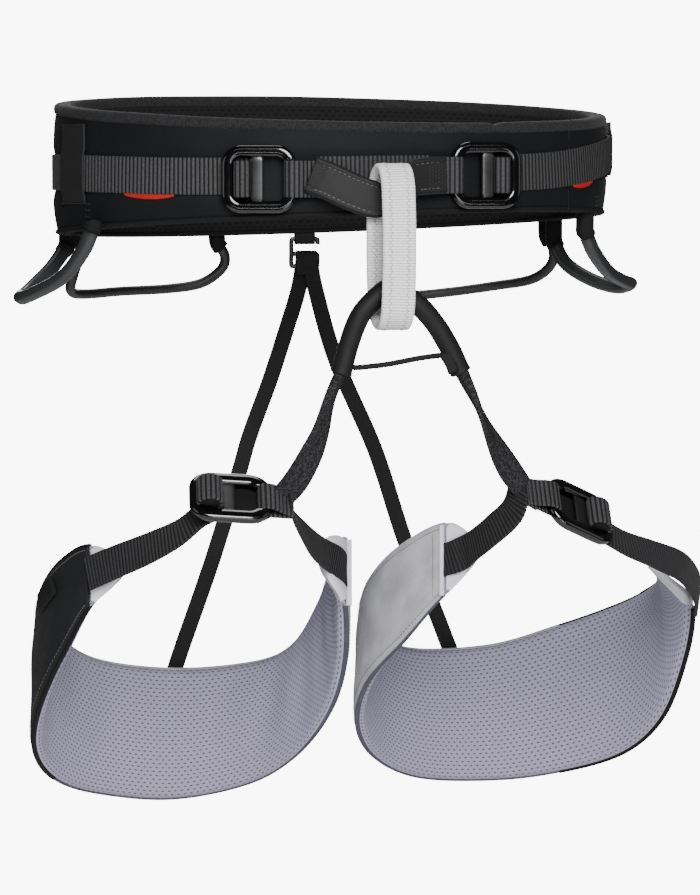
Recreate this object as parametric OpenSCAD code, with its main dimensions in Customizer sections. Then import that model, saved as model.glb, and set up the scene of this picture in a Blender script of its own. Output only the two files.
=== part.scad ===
// Climbing harness: padded waist belt, two waist buckles, tie-in loop, belay loop,
// leg bridge, two adjustable leg loops, elastic risers and four gear loops.
// X runs to the right as seen from in front, Y to the back, Z up.
// The origin is the middle of the waist opening, at half the belt's height.

/* [Waist belt] */
// Half width of the belt, side to side, at its outer face
belt_a = 155; // [150:1:160]
// Half depth of the belt, front to back, at its outer face
belt_b = 103; // [100:1:106]
// Height of the belt's upper edge at the front
belt_top_front = 23; // [21:1:25]
// Height of the belt's upper edge at the back
belt_top_back = 40; // [38:1:42]
// Thickness of the outer shell
shell_t = 2.4; // [2:0.1:2.8]
// Thickness of the spacer mesh lining
lining_t = 6; // [5:0.5:7]

/* [Webbing] */
// Width of the waist and leg webbing
web_w = 20; // [18:0.5:20]
// Thickness of one layer of webbing
web_t = 1.8; // [1.5:0.1:2]

/* [Buckles] */
// Length of a waist buckle, along the webbing
buckle_l = 40; // [38:0.5:41]
// Height of a waist buckle, across the webbing
buckle_h = 36; // [35:0.5:38]
// Thickness of a buckle frame
buckle_t = 5; // [4.6:0.1:5]

/* [Belay loop] */
// Width of the belay loop's webbing
belay_w = 18; // [16:0.5:19]
// Thickness of the belay loop's webbing
belay_t = 3.3; // [3:0.1:3.4]
// Length of the belay loop, outside
belay_l = 88; // [87.5:0.5:89]

/* [Leg bridge and gear loops] */
// Outside diameter of the tube that covers the leg bridge
tube_d = 11.2; // [11:0.1:11.6]
// Diameter of a front gear loop's rod
front_rod_d = 7; // [6:0.1:7]
// Diameter of a rear gear loop's rod
rear_rod_d = 6; // [5:0.1:6]

/* [Leg loops] */
// Thickness of the leg loop's foam and mesh
pad_t = 4.6; // [4:0.1:5]
// Thickness of the leg loop's outer fabric
panel_t = 1.6; // [1.4:0.1:1.6]
// Width of an elastic riser
riser_w = 9.5; // [8:0.5:10]

/* [Hidden] */
$fn = 48;
gap = 0.3;

// ---- Vectors, curves and lofts -------------------------------------------------------

function unit(v) = v / norm(v);
function mix(a, b, t) = a * (1 - t) + b * t;

// Point at t in 0..1 on a Catmull-Rom curve through pts
function curve_at(pts, t) =
  let (last = len(pts) - 1, s = min(t * last, last - 0.000001), i = floor(s), u = s - i,
       p1 = pts[i], p2 = pts[i + 1],
       p0 = i > 0 ? pts[i - 1] : 2 * p1 - p2,
       p3 = i < last - 1 ? pts[i + 2] : 2 * p2 - p1)
  0.5 * (2 * p1 + (p2 - p0) * u + (2 * p0 - 5 * p1 + 4 * p2 - p3) * u * u
         + (3 * p1 - p0 - 3 * p2 + p3) * u * u * u);
function curve(pts, n) = [for (i = [0:n]) curve_at(pts, i / n)];

// Unit direction of a chain of points at index i
function along(c, i, closed = false) =
  let (n = len(c))
  unit(closed ? c[(i + 1) % n] - c[(i + n - 1) % n] : c[min(i + 1, n - 1)] - c[max(i - 1, 0)]);

// Flat section of width w (along the up direction) and thickness t at index i
function flat_ring(c, ups, i, w, t, closed = false) =
  let (d = along(c, i, closed), u = unit(ups[i] - (ups[i] * d) * d), m = cross(d, u))
  [c[i] + u * w / 2 - m * t / 2, c[i] + u * w / 2 + m * t / 2,
   c[i] - u * w / 2 + m * t / 2, c[i] - u * w / 2 - m * t / 2];

// Round section of diameter d at index i
function round_ring(c, i, dia, sides) =
  let (d = along(c, i), ref = abs(d[1]) < 0.9 ? [0, 1, 0] : [1, 0, 0],
       u = unit(ref - (ref * d) * d), m = cross(d, u))
  [for (k = [0:sides - 1]) c[i] + (u * cos(k * 360 / sides) + m * sin(k * 360 / sides)) * dia / 2];

// Solid through a list of rings, each turning right-handed about the way the list runs, with
// an even number of points; an end is closed by strips between its first and second half
module loft(rings, closed = false) {
  n = len(rings);
  k = len(rings[0]);
  spans = closed ? n : n - 1;
  sides = [for (i = [0:spans - 1], j = [0:k - 1])
    let (a = i * k + j, b = i * k + (j + 1) % k,
         c = ((i + 1) % n) * k + (j + 1) % k, d = ((i + 1) % n) * k + j)
    each [[a, d, c], [a, c, b]]];
  start = [for (j = [0:k / 2 - 2])
    let (m = k - 1 - j)
    each [[j, j + 1, m - 1], [j, m - 1, m]]];
  finish = [for (t = start) [for (j = [2:-1:0]) t[j] + (n - 1) * k]];
  polyhedron(points = [for (r = rings) each r],
             faces = closed ? sides : concat(sides, start, finish));
}

// Flat strap through route points; each up vector gives the direction of its width
module strap(route, ups, w, t, n) {
  c = curve(route, n);
  u = curve(ups, n);
  loft([for (i = [0:n]) flat_ring(c, u, i, w, t)]);
}

// Round rod through route points
module rod(route, dia, n, sides = 12) {
  c = curve(route, n);
  loft([for (i = [0:n]) round_ring(c, i, dia, sides)]);
}

// ---- Waist belt ----------------------------------------------------------------------

// Angles f on the belt run from 0 at the front, positive to the right
function belt_top(f) =
  (belt_top_front + belt_top_back) / 2
  - (belt_top_back - belt_top_front) / 2 * cos(f) - 2 * sin(f);
function belt_bottom(f) = -33.5 + 6.5 * cos(f) + 4.5 * sin(f);
function belt_at(f, o, z) = [(belt_a + o) * sin(f), -(belt_b + o) * cos(f), z];

rim_h = 6;
hem_h = 3;
belt_in = -(shell_t + gap + lining_t);

// Band between offsets o0 and o1, from angle f0 to f1, between two heights as functions of f
module belt_band(o0, o1, f0, f1, n, low, high, closed = false) {
  steps = closed ? n - 1 : n;
  loft([for (i = [0:steps])
    let (f = f0 + (f1 - f0) * i / n)
    [belt_at(f, o1, low(f)), belt_at(f, o0, low(f)), belt_at(f, o0, high(f)), belt_at(f, o1, high(f))]],
    closed);
}

module belt_shell() {
  color("#242528")
  belt_band(-shell_t, 0, 0, 360, 80, function (f) belt_bottom(f) + hem_h + 0.1,
            function (f) belt_top(f) - rim_h - 0.1, true);
}

module belt_lining() {
  color("#18181a")
  belt_band(belt_in, -shell_t - gap, 0, 360, 80, function (f) belt_bottom(f) + hem_h + 0.1,
            function (f) belt_top(f) - rim_h - 0.1, true);
}

module belt_rim() {
  color("#2c2c2e")
  belt_band(belt_in - 0.5, 0.8, 0, 360, 80, function (f) belt_top(f) - rim_h,
            function (f) belt_top(f), true);
}

module belt_hem() {
  color("#141415")
  belt_band(belt_in, 0.4, 0, 360, 80, function (f) belt_bottom(f),
            function (f) belt_bottom(f) + hem_h, true);
}

// Height of the middle of the waist webbing at angle f
function web_mid(f) = lookup(f, [[-120, -4], [-85, -4], [-35, -6], [0, -5], [47, -2], [85, 7], [120, 9]]);
module web_band(f0, f1, n, o0 = gap, t = web_t, w = web_w) {
  belt_band(o0, o0 + t, f0, f1, n, function (f) web_mid(f) - w / 2, function (f) web_mid(f) + w / 2);
}

module left_waist_webbing() { color("#3c3c3e") web_band(-120, -22, 24); }
module centre_webbing() { color("#3c3c3e") web_band(-10, 11.5, 8); }
module right_waist_webbing() { color("#3c3c3e") web_band(23, 120, 24); }

// Elastic keeper that holds the webbing's tail: a band standing over the webbing
keeper_o = gap + web_t + gap;
module keeper(f, low, high) {
  half = 4.6;
  belt_band(keeper_o, keeper_o + 1.4, f - half, f + half, 4,
            function (f) web_mid(f) + low, function (f) web_mid(f) + high);
}
module left_keeper() { color("#1f1f21") keeper(-71, -14, 27); }
module right_keeper() { color("#1f1f21") keeper(88, -13, 17); }

// Red wear marks that show under the webbing's lower edge
module wear_mark(f0, f1) {
  belt_band(gap, gap + 0.8, f0, f1, 4, function (f) web_mid(f) - web_w / 2 - 3,
            function (f) web_mid(f) - web_w / 2 - 0.2);
}
module left_wear_mark() { color("#b5211c") wear_mark(-56, -38); }
module right_wear_mark() { color("#b5211c") wear_mark(57, 71); }

// ---- Buckles -------------------------------------------------------------------------
// Own frame: X along the webbing towards the sewn end, -Y outwards, Z across the webbing

window_h = 23;
limb_w = 5.6;
sewn_x = buckle_l / 2 - 2.5;

module rounded(w, h, r) {
  square([w - 2 * r, h], center = true);
  square([w, h - 2 * r], center = true);
  for (x = [-1, 1], y = [-1, 1]) translate([x * (w / 2 - r), y * (h / 2 - r)]) circle(r);
}

// Outline in X and Z, given the thickness t, centred on the buckle's middle plane
module plate(t) { rotate([90, 0, 0]) translate([0, 0, -t / 2]) linear_extrude(t) children(); }

module buckle_frame() {
  difference() {
    plate(buckle_t) difference() {
      rounded(buckle_l, buckle_h, 7);
      rounded(buckle_l - 2 * limb_w, window_h, 2);
    }
    translate([sewn_x - 3.4, -buckle_t, -window_h / 2]) cube([8, 2 * buckle_t, window_h]);
  }
  translate([sewn_x, 0, -window_h / 2 - 1]) cylinder(r = 2.4, h = window_h + 2);
}

// Grey adjuster bar across the window
module buckle_bar() {
  translate([-1, 0, -window_h / 2]) linear_extrude(window_h) rounded(7, 3.6, 1.6);
}

// Webbing where it turns round the adjuster bar
module buckle_turn() {
  translate([-9, -0.6, -9.8]) linear_extrude(19.6) rounded(8.6, 6.4, 3);
}

// Sewn end of the webbing round the buckle's end bar, with its bar-tacked tail
module sewn_loop(tail) {
  translate([0, 0, -10]) linear_extrude(20) difference() {
    union() {
      translate([sewn_x, 0]) circle(4.3);
      polygon([[sewn_x, -4.3], [sewn_x + 9, 0.8], [sewn_x + tail, 1.4], [sewn_x + tail, 4.3],
               [sewn_x, 4.3]]);
    }
    translate([sewn_x, 0]) circle(2.8);
    polygon([[sewn_x, -2.8], [sewn_x + 7, 2.8], [sewn_x, 2.8]]);
  }
}

// Places a buckle's own frame; flip mirrors it left to right
module placed(pos, turn, flip = false) {
  translate(pos) rotate(turn) if (flip) mirror([1, 0, 0]) children(); else children();
}

waist_o = 5.2;
left_buckle_f = -22.4;
right_buckle_f = 22.6;
right_buckle_o = 6.4;
right_buckle_turn = 7;
function face_turn(f) = asin((sin(f) / belt_a) / norm([sin(f) / belt_a, cos(f) / belt_b]));
module at_left_buckle() {
  placed(belt_at(left_buckle_f, waist_o, -7.5), [0, 0, face_turn(left_buckle_f)]) children();
}
module at_right_buckle() {
  placed(belt_at(right_buckle_f, right_buckle_o, -5.5), [0, 0, right_buckle_turn], true) children();
}

module left_buckle_frame() { color("#0c0c0d") at_left_buckle() buckle_frame(); }
module left_buckle_bar() { color("#3a3a3c") at_left_buckle() buckle_bar(); }
module left_buckle_turn() { color("#3c3c3e") at_left_buckle() buckle_turn(); }
module left_sewn_loop() { color("#3c3c3e") at_left_buckle() sewn_loop(14); }
module right_buckle_frame() { color("#0c0c0d") at_right_buckle() buckle_frame(); }
module right_buckle_bar() { color("#3a3a3c") at_right_buckle() buckle_bar(); }
module right_buckle_turn() { color("#3c3c3e") at_right_buckle() buckle_turn(); }
module right_sewn_loop() { color("#3c3c3e") at_right_buckle() sewn_loop(14); }

// ---- Tie-in loop and belay loop ------------------------------------------------------

tie_t = 3.2;
module tie_in_loop() {
  color("#1c1c1e")
  strap([[-35, -110, -5], [-25, -112.6, -9], [-12, -115.6, -15.2], [1, -117.1, -19.6],
         [12, -116.9, -19.2], [24, -114.3, -12.6], [38, -109.6, -5]],
        [[0, 0, 1], [0.35, 0, 1], [0.35, 0, 1], [0.1, 0, 1], [-0.2, 0, 1], [-0.35, 0, 1], [0, 0, 1]],
        web_w, tie_t, 24);
}

belay_x = 7;
belay_y = -120.3;
belay_r = 12.5;
belay_top = 0.8;
module belay_loop() {
  color("#dcdcdb")
  translate([belay_x - belay_w / 2, belay_y, belay_top - belay_l / 2]) rotate([90, 0, 90])
  linear_extrude(belay_w) difference() {
    rounded(2 * belay_r + belay_t, belay_l, belay_r + belay_t / 2 - 0.01);
    rounded(2 * belay_r - belay_t, belay_l - 2 * belay_t, belay_r - belay_t / 2 - 0.01);
  }
}

// ---- Gear loops ----------------------------------------------------------------------

front_left_route = [[-144, -50, -34], [-148, -44, -46], [-158, -30, -61], [-173, -10, -71],
                    [-178, 0, -73], [-173, 10, -70], [-160, 20, -59], [-152, 28, -50], [-148, 32, -44.2]];
front_right_route = [[133, -40, -36], [140, -32, -48], [153, -16, -60], [167, 2, -66],
                     [174, 12, -68], [168, 22, -70], [156, 32, -66], [144, 44, -57], [138, 50, -44]];
rear_left_route = [[-53, 97, -44.8], [-48, 99, -53], [-50, 101, -61], [-62, 101, -69], [-82, 99, -72],
                   [-110, 91, -73], [-133, 77, -74], [-142, 67, -72], [-142, 61, -64], [-135.5, 58, -44]];
rear_right_route = [[136, 60, -41], [141, 62, -50], [140, 66, -59], [131, 75, -67], [112, 86, -71],
                    [85, 95, -75], [62, 100, -77], [50, 102, -75], [47, 102, -66], [52, 98, -44]];

// Rod whose two ends are rounded off past the ends of its route, all in one chain of rings
module gear_loop(route, dia) {
  steps = 40;
  sides = 12;
  c = curve(route, steps);
  d0 = along(c, 0);
  d1 = along(c, steps);
  dome = [70, 45, 20];
  function end_ring(i, d, angle) =
    [for (q = round_ring(c, i, dia * cos(angle), sides)) q + d * dia / 2 * sin(angle)];
  loft([for (angle = dome) end_ring(0, -d0, angle),
        for (i = [0:steps]) round_ring(c, i, dia, sides),
        for (k = [len(dome) - 1:-1:0]) end_ring(steps, d1, dome[k])]);
}
module front_left_gear_loop() { color("#3a3b3d") gear_loop(front_left_route, front_rod_d); }
module front_right_gear_loop() { color("#3a3b3d") gear_loop(front_right_route, front_rod_d); }
module rear_left_gear_loop() { color("#1c1c1d") gear_loop(rear_left_route, rear_rod_d); }
module rear_right_gear_loop() { color("#1c1c1d") gear_loop(rear_right_route, rear_rod_d); }

// ---- Leg bridge ----------------------------------------------------------------------

bridge_route = [[-20, -116, -110], [-16, -117.5, -95], [-10, -119.5, -79], [0, -120.3, -68.3],
                [7, -120.3, -64.6], [14, -120.3, -68.3], [26, -119.5, -78.8], [37, -117.5, -94],
                [45, -116, -110]];
module bridge_tube() {
  color("#202022") difference() {
    rod(bridge_route, tube_d, 32, 16);
    bridge_core(8.6);
  }
}
module bridge_core(d) {
  last = len(bridge_route) - 1;
  beyond = [2 * bridge_route[0] - bridge_route[1], 2 * bridge_route[last] - bridge_route[last - 1]];
  rod([beyond[0], each bridge_route, beyond[1]], d, 40, 10);
}
module bridge_webbing() { color("#2a2a2c") rod(bridge_route, 8, 32, 10); }
module bridge_cord() {
  color("#232324")
  rod([[-13.5, -121, -105], [5, -121.6, -104], [25, -121.6, -101], [36.5, -121, -100]], 2.6, 12, 8);
}

module left_bridge_strap() {
  color("#2e2e30")
  strap([[-20.5, -116, -110], [-27, -115, -124], [-33, -114, -142], [-39, -113, -158], [-46, -112, -171]],
        [[0.5, 1, 0.2], [0.5, 1, 0.2], [0.9, 0.8, 0.1], [1, 0.3, -0.3], [0.9, 0, -0.5]], 16, 3, 16);
}
module right_bridge_strap() {
  color("#2e2e30")
  strap([[45.5, -116, -110], [54, -115, -127], [63, -114, -144], [71, -113, -160], [79, -112, -173]],
        [[-0.4, 1, 0.2], [-0.4, 1, 0.2], [0.3, 0.9, 0.1], [0.9, 0.5, 0.3], [0.8, 0, 0.5]], 16, 3, 16);
}
module left_inner_strap() {
  color("#3a3a3c")
  strap([[-46, -109.5, -173], [-43, -105, -186], [-33, -92, -198], [-22, -72, -207], [-14, -51, -212.5],
         [-10.6, -40.8, -216.5], [-7, -32.7, -223.5]],
        [[0.9, 0.2, 0.3], [0.8, 0.3, 0.5], [0.2, 0.4, 1], [0, 0.3, 1], [-0.38, 0.2, 0.9], [-0.38, 0.2, 0.9],
         [-0.38, 0.2, 0.9]],
        17, web_t, 22);
}
module right_inner_strap() {
  color("#3a3a3c")
  strap([[79, -109.5, -174], [76, -106, -186], [67, -97.5, -197], [61, -88, -204.5], [56.5, -77.5, -210.5],
         [51.5, -72.3, -214], [46.6, -68.6, -216]],
        [[-0.8, 0.3, 0.4], [-0.5, 0.3, 0.8], [0, 0.2, 1], [0.1, 0.1, 1], [0, 0, 1], [0, 0, 1], [0, 0, 1]],
        18, web_t, 22);
}

// ---- Leg buckles ---------------------------------------------------------------------

// Longer than the waist buckles, and a little narrower
leg_buckle_scale = [1.1, 0.95, 0.95];

module at_left_leg_buckle() {
  placed([-78.6, -110.8, -175.8], [-50, 4, -4]) scale(leg_buckle_scale) children();
}
module at_right_leg_buckle() {
  placed([113.3, -106.2, -187.0], [-42, 24, 18], true) scale(leg_buckle_scale) children();
}
// Bulky roll of webbing round the adjuster bar
module leg_buckle_turn() {
  translate([-9.5, -1.4, -9.8]) linear_extrude(19.6) rounded(9.4, 8, 3.8);
}

module left_leg_buckle_frame() { color("#0c0c0d") at_left_leg_buckle() buckle_frame(); }
module left_leg_buckle_bar() { color("#1a1a1c") at_left_leg_buckle() buckle_bar(); }
module left_leg_buckle_turn() { color("#3c3c3e") at_left_leg_buckle() leg_buckle_turn(); }
module left_leg_sewn_loop() { color("#3c3c3e") at_left_leg_buckle() sewn_loop(13); }
module right_leg_buckle_frame() { color("#0c0c0d") at_right_leg_buckle() buckle_frame(); }
module right_leg_buckle_bar() { color("#1a1a1c") at_right_leg_buckle() buckle_bar(); }
module right_leg_buckle_turn() { color("#3c3c3e") at_right_leg_buckle() leg_buckle_turn(); }
module right_leg_sewn_loop() { color("#3c3c3e") at_right_leg_buckle() sewn_loop(13); }

// ---- Leg loops -----------------------------------------------------------------------
// Each station: angle from the front (negative to the left), upper edge, lower edge, and how
// far the upper edge leans in. The list runs from the outer tip round the back to the inner tip.

left_leg = [[-32, -210, -224, 0], [-46, -205, -238, 0], [-60, -213, -266, 2], [-80, -230, -300, 4],
            [-100, -247, -326, 4], [-125, -268, -350, 3], [-150, -286, -364, 2], [-180, -294, -371, 2],
            [-208, -291, -363, 2], [-230, -280, -345, 4], [-254, -252, -312, 8], [-274, -229, -278, 12],
            [-290, -211, -245, 13], [-302, -202, -225, 12]];
right_leg = [[58, -224, -238, 22], [74, -230, -252, 20], [92, -236, -284, 14], [110, -245, -322, 8],
             [130, -258, -347, 5], [155, -273, -361, 3], [180, -285, -366, 2], [209, -285, -361, 2],
             [235, -273, -343, 3], [260, -252, -316, 3], [280, -232, -291, 2], [302, -210, -265, 0],
             [320, -196, -236, 0], [333, -201, -219, 0]];
left_plan = [-84, 0, 90, 88];
right_plan = [109.5, 0, 98.5, 88];
stations = len(left_leg);

// Point on a leg loop: plan is [x, y, half width, half depth], s runs 0..1 along the stations,
// h 0..1 from the lower edge to the upper, and o is the offset outwards from the outer face
function leg_at(leg, plan, s, h, o) =
  let (q = curve_at(leg, s), r = o - q[3] * h)
  [plan[0] + (plan[2] + r) * sin(q[0]), plan[1] - (plan[3] + r) * cos(q[0]), mix(q[2], q[1], h)];

function turned_back(ring) = [for (k = [len(ring) - 1:-1:0]) ring[k]];

// Wall of a leg loop between offsets o0 and o1, from s0 to s1, between two shares of its height
module leg_wall(leg, plan, o0, o1, s0, s1, n, h0 = 0, h1 = 1) {
  rows = 4;
  loft([for (i = [0:n])
    let (s = mix(s0, s1, i / n),
         outer = [for (j = [0:rows]) leg_at(leg, plan, s, mix(h0, h1, j / rows), o1)],
         inner = [for (j = [rows:-1:0]) leg_at(leg, plan, s, mix(h0, h1, j / rows), o0)])
    leg == left_leg ? [each outer, each inner] : turned_back([each outer, each inner])]);
}

function share(station) = station / (stations - 1);
shell_in = -panel_t;
pad_out = -panel_t - 0.1;
pad_in = pad_out - pad_t;

module leg_pad(leg, plan) {
  color("#8f8ba3") leg_wall(leg, plan, pad_in, pad_out, share(0.9), share(12.1), 60);
}
module leg_shell(leg, plan) {
  color("#1b1b1d") leg_wall(leg, plan, shell_in, 0, share(1), share(5), 24);
}
module leg_panel(leg, plan) {
  color("#b9b9bb") leg_wall(leg, plan, shell_in, 0, share(5.02), share(12), 40);
}
module outer_tip(leg, plan) {
  color("#d9d9dc") leg_wall(leg, plan, pad_in, pad_out, share(0), share(0.88), 6);
}
module inner_tip(leg, plan) {
  color("#d9d9dc") leg_wall(leg, plan, pad_in, pad_out, share(12.12), share(13), 6);
}

module left_leg_pad() { leg_pad(left_leg, left_plan); }
module left_leg_shell() { leg_shell(left_leg, left_plan); }
module left_leg_panel() { leg_panel(left_leg, left_plan); }
module left_outer_tip() { outer_tip(left_leg, left_plan); }
module left_inner_tip() { inner_tip(left_leg, left_plan); }
module right_leg_pad() { leg_pad(right_leg, right_plan); }
module right_leg_shell() { leg_shell(right_leg, right_plan); }
module right_leg_panel() { leg_panel(right_leg, right_plan); }
module right_outer_tip() { outer_tip(right_leg, right_plan); }
module right_inner_tip() { inner_tip(right_leg, right_plan); }

// Small webbing tab sewn on the outer side of each leg loop
module leg_tab(leg, plan) {
  color("#101011") leg_wall(leg, plan, 0.2, 4.2, share(2.2), share(2.7), 6, 0.55, 0.95);
}
module left_leg_tab() { leg_tab(left_leg, left_plan); }
module right_leg_tab() { leg_tab(right_leg, right_plan); }

module left_outer_strap() {
  color("#3a3a3c")
  strap([[-149, -64, -220], [-137, -76, -213], [-120, -91, -204], [-105, -101, -195], [-93, -105, -185],
         [-82, -107, -180]],
        [[0, 0.3, 1], [0, 0.4, 1], [0, 0.6, 0.9], [0.1, 0.8, 0.8], [0.1, 0.9, 0.7], [0.1, 0.9, 0.7]],
        19, web_t, 24);
}
module right_outer_strap() {
  color("#3a3a3c")
  strap([[201, -36, -247], [196, -50, -236], [182, -70, -223], [162, -86, -214], [142, -96, -206],
         [126, -99.5, -197], [115, -101, -192]],
        [[0.2, 0.3, 1], [0.2, 0.4, 1], [0.3, 0.6, 0.8], [0.2, 0.7, 0.7], [0.1, 0.8, 0.7],
         [0.1, 0.8, 0.7], [0.1, 0.8, 0.7]],
        19, web_t, 28);
}

// ---- Risers and their hook -----------------------------------------------------------

riser_t = 1.4;
hook_x = -0.5;
hook_y = 99;
// Height of the hook's upper bar
hook_z = -43.2;
// The same up vector at every point of a route
function same_way(v, n) = [for (i = [1:n]) v];
module hook_keeper() {
  color("#141415") translate([hook_x - 6, hook_y, hook_z + 1.55]) rotate([90, 0, 90]) linear_extrude(12)
  difference() {
    rounded(5.6, 9.3, 2.7);
    translate([0, -1.5]) rounded(3.4, 4.6, 1.6);
  }
}
// Flat hook: an upper bar open at the right, one upright, and a small frame for the risers
module riser_hook() {
  color("#161617") translate([hook_x, hook_y, hook_z]) {
    translate([-7.5, 0, 0]) rotate([0, 90, 0]) cylinder(d = 2.2, h = 14.5);
    translate([6.8, -1.1, -3.2]) cube([1.8, 2.2, 4.3]);
    translate([-9, -1.1, -17]) cube([2, 2.2, 18.1]);
    translate([-7.5, -1.1, -10]) cube([15, 2.2, 2.4]);
    translate([6.6, -1.1, -17]) cube([2, 2.2, 9.4]);
    translate([-7.5, -1.1, -17]) cube([15, 2.2, 2]);
  }
}
module left_riser() {
  color("#1c1c1d")
  strap([[-1, 100.6, -58.5], [-4, 100.4, -73], [-12, 99, -98], [-22, 97, -127], [-34, 95, -158],
         [-41, 94, -181], [-57, 91.6, -231], [-78, 91, -290], [-82, 91, -306]],
        same_way([1, 0, 0.3], 9), riser_w, riser_t, 20);
}
module right_riser() {
  color("#1c1c1d")
  strap([[2.5, 97.4, -58.5], [6, 97.4, -74], [18, 97, -115], [41, 95, -168], [59, 93, -223],
         [75, 91.4, -260], [86, 91, -288], [92, 91, -302]],
        same_way([-1, 0, 0.35], 8), riser_w, riser_t, 18);
}

belt_shell();
belt_lining();
belt_rim();
belt_hem();
left_waist_webbing();
centre_webbing();
right_waist_webbing();
left_keeper();
right_keeper();
left_wear_mark();
right_wear_mark();
left_sewn_loop();
right_sewn_loop();
left_buckle_frame();
left_buckle_bar();
left_buckle_turn();
right_buckle_frame();
right_buckle_bar();
right_buckle_turn();
tie_in_loop();
belay_loop();
hook_keeper();
front_left_gear_loop();
front_right_gear_loop();
rear_left_gear_loop();
rear_right_gear_loop();
bridge_tube();
bridge_webbing();
bridge_cord();
left_bridge_strap();
right_bridge_strap();
left_inner_strap();
right_inner_strap();
left_leg_sewn_loop();
right_leg_sewn_loop();
left_leg_buckle_frame();
left_leg_buckle_bar();
left_leg_buckle_turn();
right_leg_buckle_frame();
right_leg_buckle_bar();
right_leg_buckle_turn();
left_outer_strap();
right_outer_strap();
left_leg_pad();
left_leg_shell();
left_leg_panel();
left_outer_tip();
left_inner_tip();
right_leg_pad();
right_leg_shell();
right_leg_panel();
right_outer_tip();
right_inner_tip();
left_leg_tab();
right_leg_tab();
riser_hook();
left_riser();
right_riser();
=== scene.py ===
"""Climbing harness: the sewn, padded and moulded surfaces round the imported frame.

Lengths are in millimetres in the frame's axes (X right, Y back, Z up) until a mesh is made.
Every surface is a section carried along a path, worked out as whole numpy arrays.
"""

import logging
from dataclasses import dataclass, field
from enum import Enum
from typing import Callable, Sequence

import bpy
import numpy as np
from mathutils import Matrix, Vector


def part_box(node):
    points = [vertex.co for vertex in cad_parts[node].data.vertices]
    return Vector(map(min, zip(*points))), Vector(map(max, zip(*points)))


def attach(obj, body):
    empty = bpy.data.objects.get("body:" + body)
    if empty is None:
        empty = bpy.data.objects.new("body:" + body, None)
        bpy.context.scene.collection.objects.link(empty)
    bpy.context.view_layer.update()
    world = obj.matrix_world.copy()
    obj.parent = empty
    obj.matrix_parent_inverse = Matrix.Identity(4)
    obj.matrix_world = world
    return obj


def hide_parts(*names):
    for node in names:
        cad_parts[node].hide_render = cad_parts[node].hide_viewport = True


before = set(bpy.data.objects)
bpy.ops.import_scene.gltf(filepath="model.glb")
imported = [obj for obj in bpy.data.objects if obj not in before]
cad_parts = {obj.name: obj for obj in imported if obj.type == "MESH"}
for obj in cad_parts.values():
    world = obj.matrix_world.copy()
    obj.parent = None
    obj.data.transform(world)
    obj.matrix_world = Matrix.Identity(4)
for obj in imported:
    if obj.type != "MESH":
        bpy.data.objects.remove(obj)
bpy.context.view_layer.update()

LOG = logging.getLogger("harness")
MM = 0.001
UP = np.array([0.0, 0.0, 1.0])
CLOTH = "cloth"
ROUTE_SAMPLES = 600
STEPS_PER_RIB = 6

Array = np.ndarray
Points = Sequence[Sequence[float]]


class Body(str, Enum):
    """The frame's bodies that pieces ride on."""

    BELT = "waist_belt"
    LEGS = "leg_loops"
    BELAY = "belay_loop"
    LEFT_WAIST_BUCKLE = "left_waist_buckle"
    RIGHT_WAIST_BUCKLE = "right_waist_buckle"
    LEFT_LEG_BUCKLE = "left_leg_buckle"
    RIGHT_LEG_BUCKLE = "right_leg_buckle"


class Side(str, Enum):
    """Left or right as seen from in front."""

    LEFT = "left"
    RIGHT = "right"


# ---- Curves and frames -----------------------------------------------------------------


def unit(vectors: Array) -> Array:
    """Vectors divided by their lengths."""
    return vectors / np.linalg.norm(vectors, axis=-1, keepdims=True)


def spline(points: Points, count: int) -> Array:
    """Catmull-Rom curve: each span is the cubic whose end slopes are half the neighbours' difference.

    Args:
        points: the points that the curve passes through, of any dimension.
        count: how many samples to take, evenly in the parameter.

    Returns:
        An array of count points.
    """
    known = np.asarray(points, float)
    held = np.vstack([2 * known[0] - known[1], known, 2 * known[-1] - known[-2]])
    place = np.linspace(0, len(known) - 1, count)
    span = np.minimum(place.astype(int), len(known) - 2)
    u = (place - span)[:, None]
    a, b, c, d = (held[span + k] for k in range(4))
    return 0.5 * (2 * b + (c - a) * u + (2 * a - 5 * b + 4 * c - d) * u**2 + (3 * b - a - 3 * c + d) * u**3)


def smooth_step(values: Array) -> Array:
    """Values held to 0..1 and eased by 3t^2 - 2t^3."""
    t = np.clip(values, 0, 1)
    return t * t * (3 - 2 * t)


def bump(values: Array, centre: float, width: float) -> Array:
    """A bell of height 1: the exponential of minus the squared distance over the width."""
    return np.exp(-(((values - centre) / width) ** 2))


def ripple(u: Array, v: Array, wave: float, seed: int) -> Array:
    """Soft creases of about unit height: a sum of eight sine waves of random heading.

    Args:
        u: first surface coordinate, in mm.
        v: second surface coordinate, in mm.
        wave: the typical wave length, in mm.
        seed: fixes the random draws.

    Returns:
        The sum at each point.
    """
    rng = np.random.default_rng(seed)
    total = np.zeros(np.broadcast(u, v).shape)
    for _ in range(8):
        turn, phase = rng.uniform(0, 2 * np.pi, 2)
        length = wave * rng.uniform(0.6, 1.7)
        total = total + np.sin(2 * np.pi * (u * np.cos(turn) + v * np.sin(turn)) / length + phase)
    return total / 3


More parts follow.
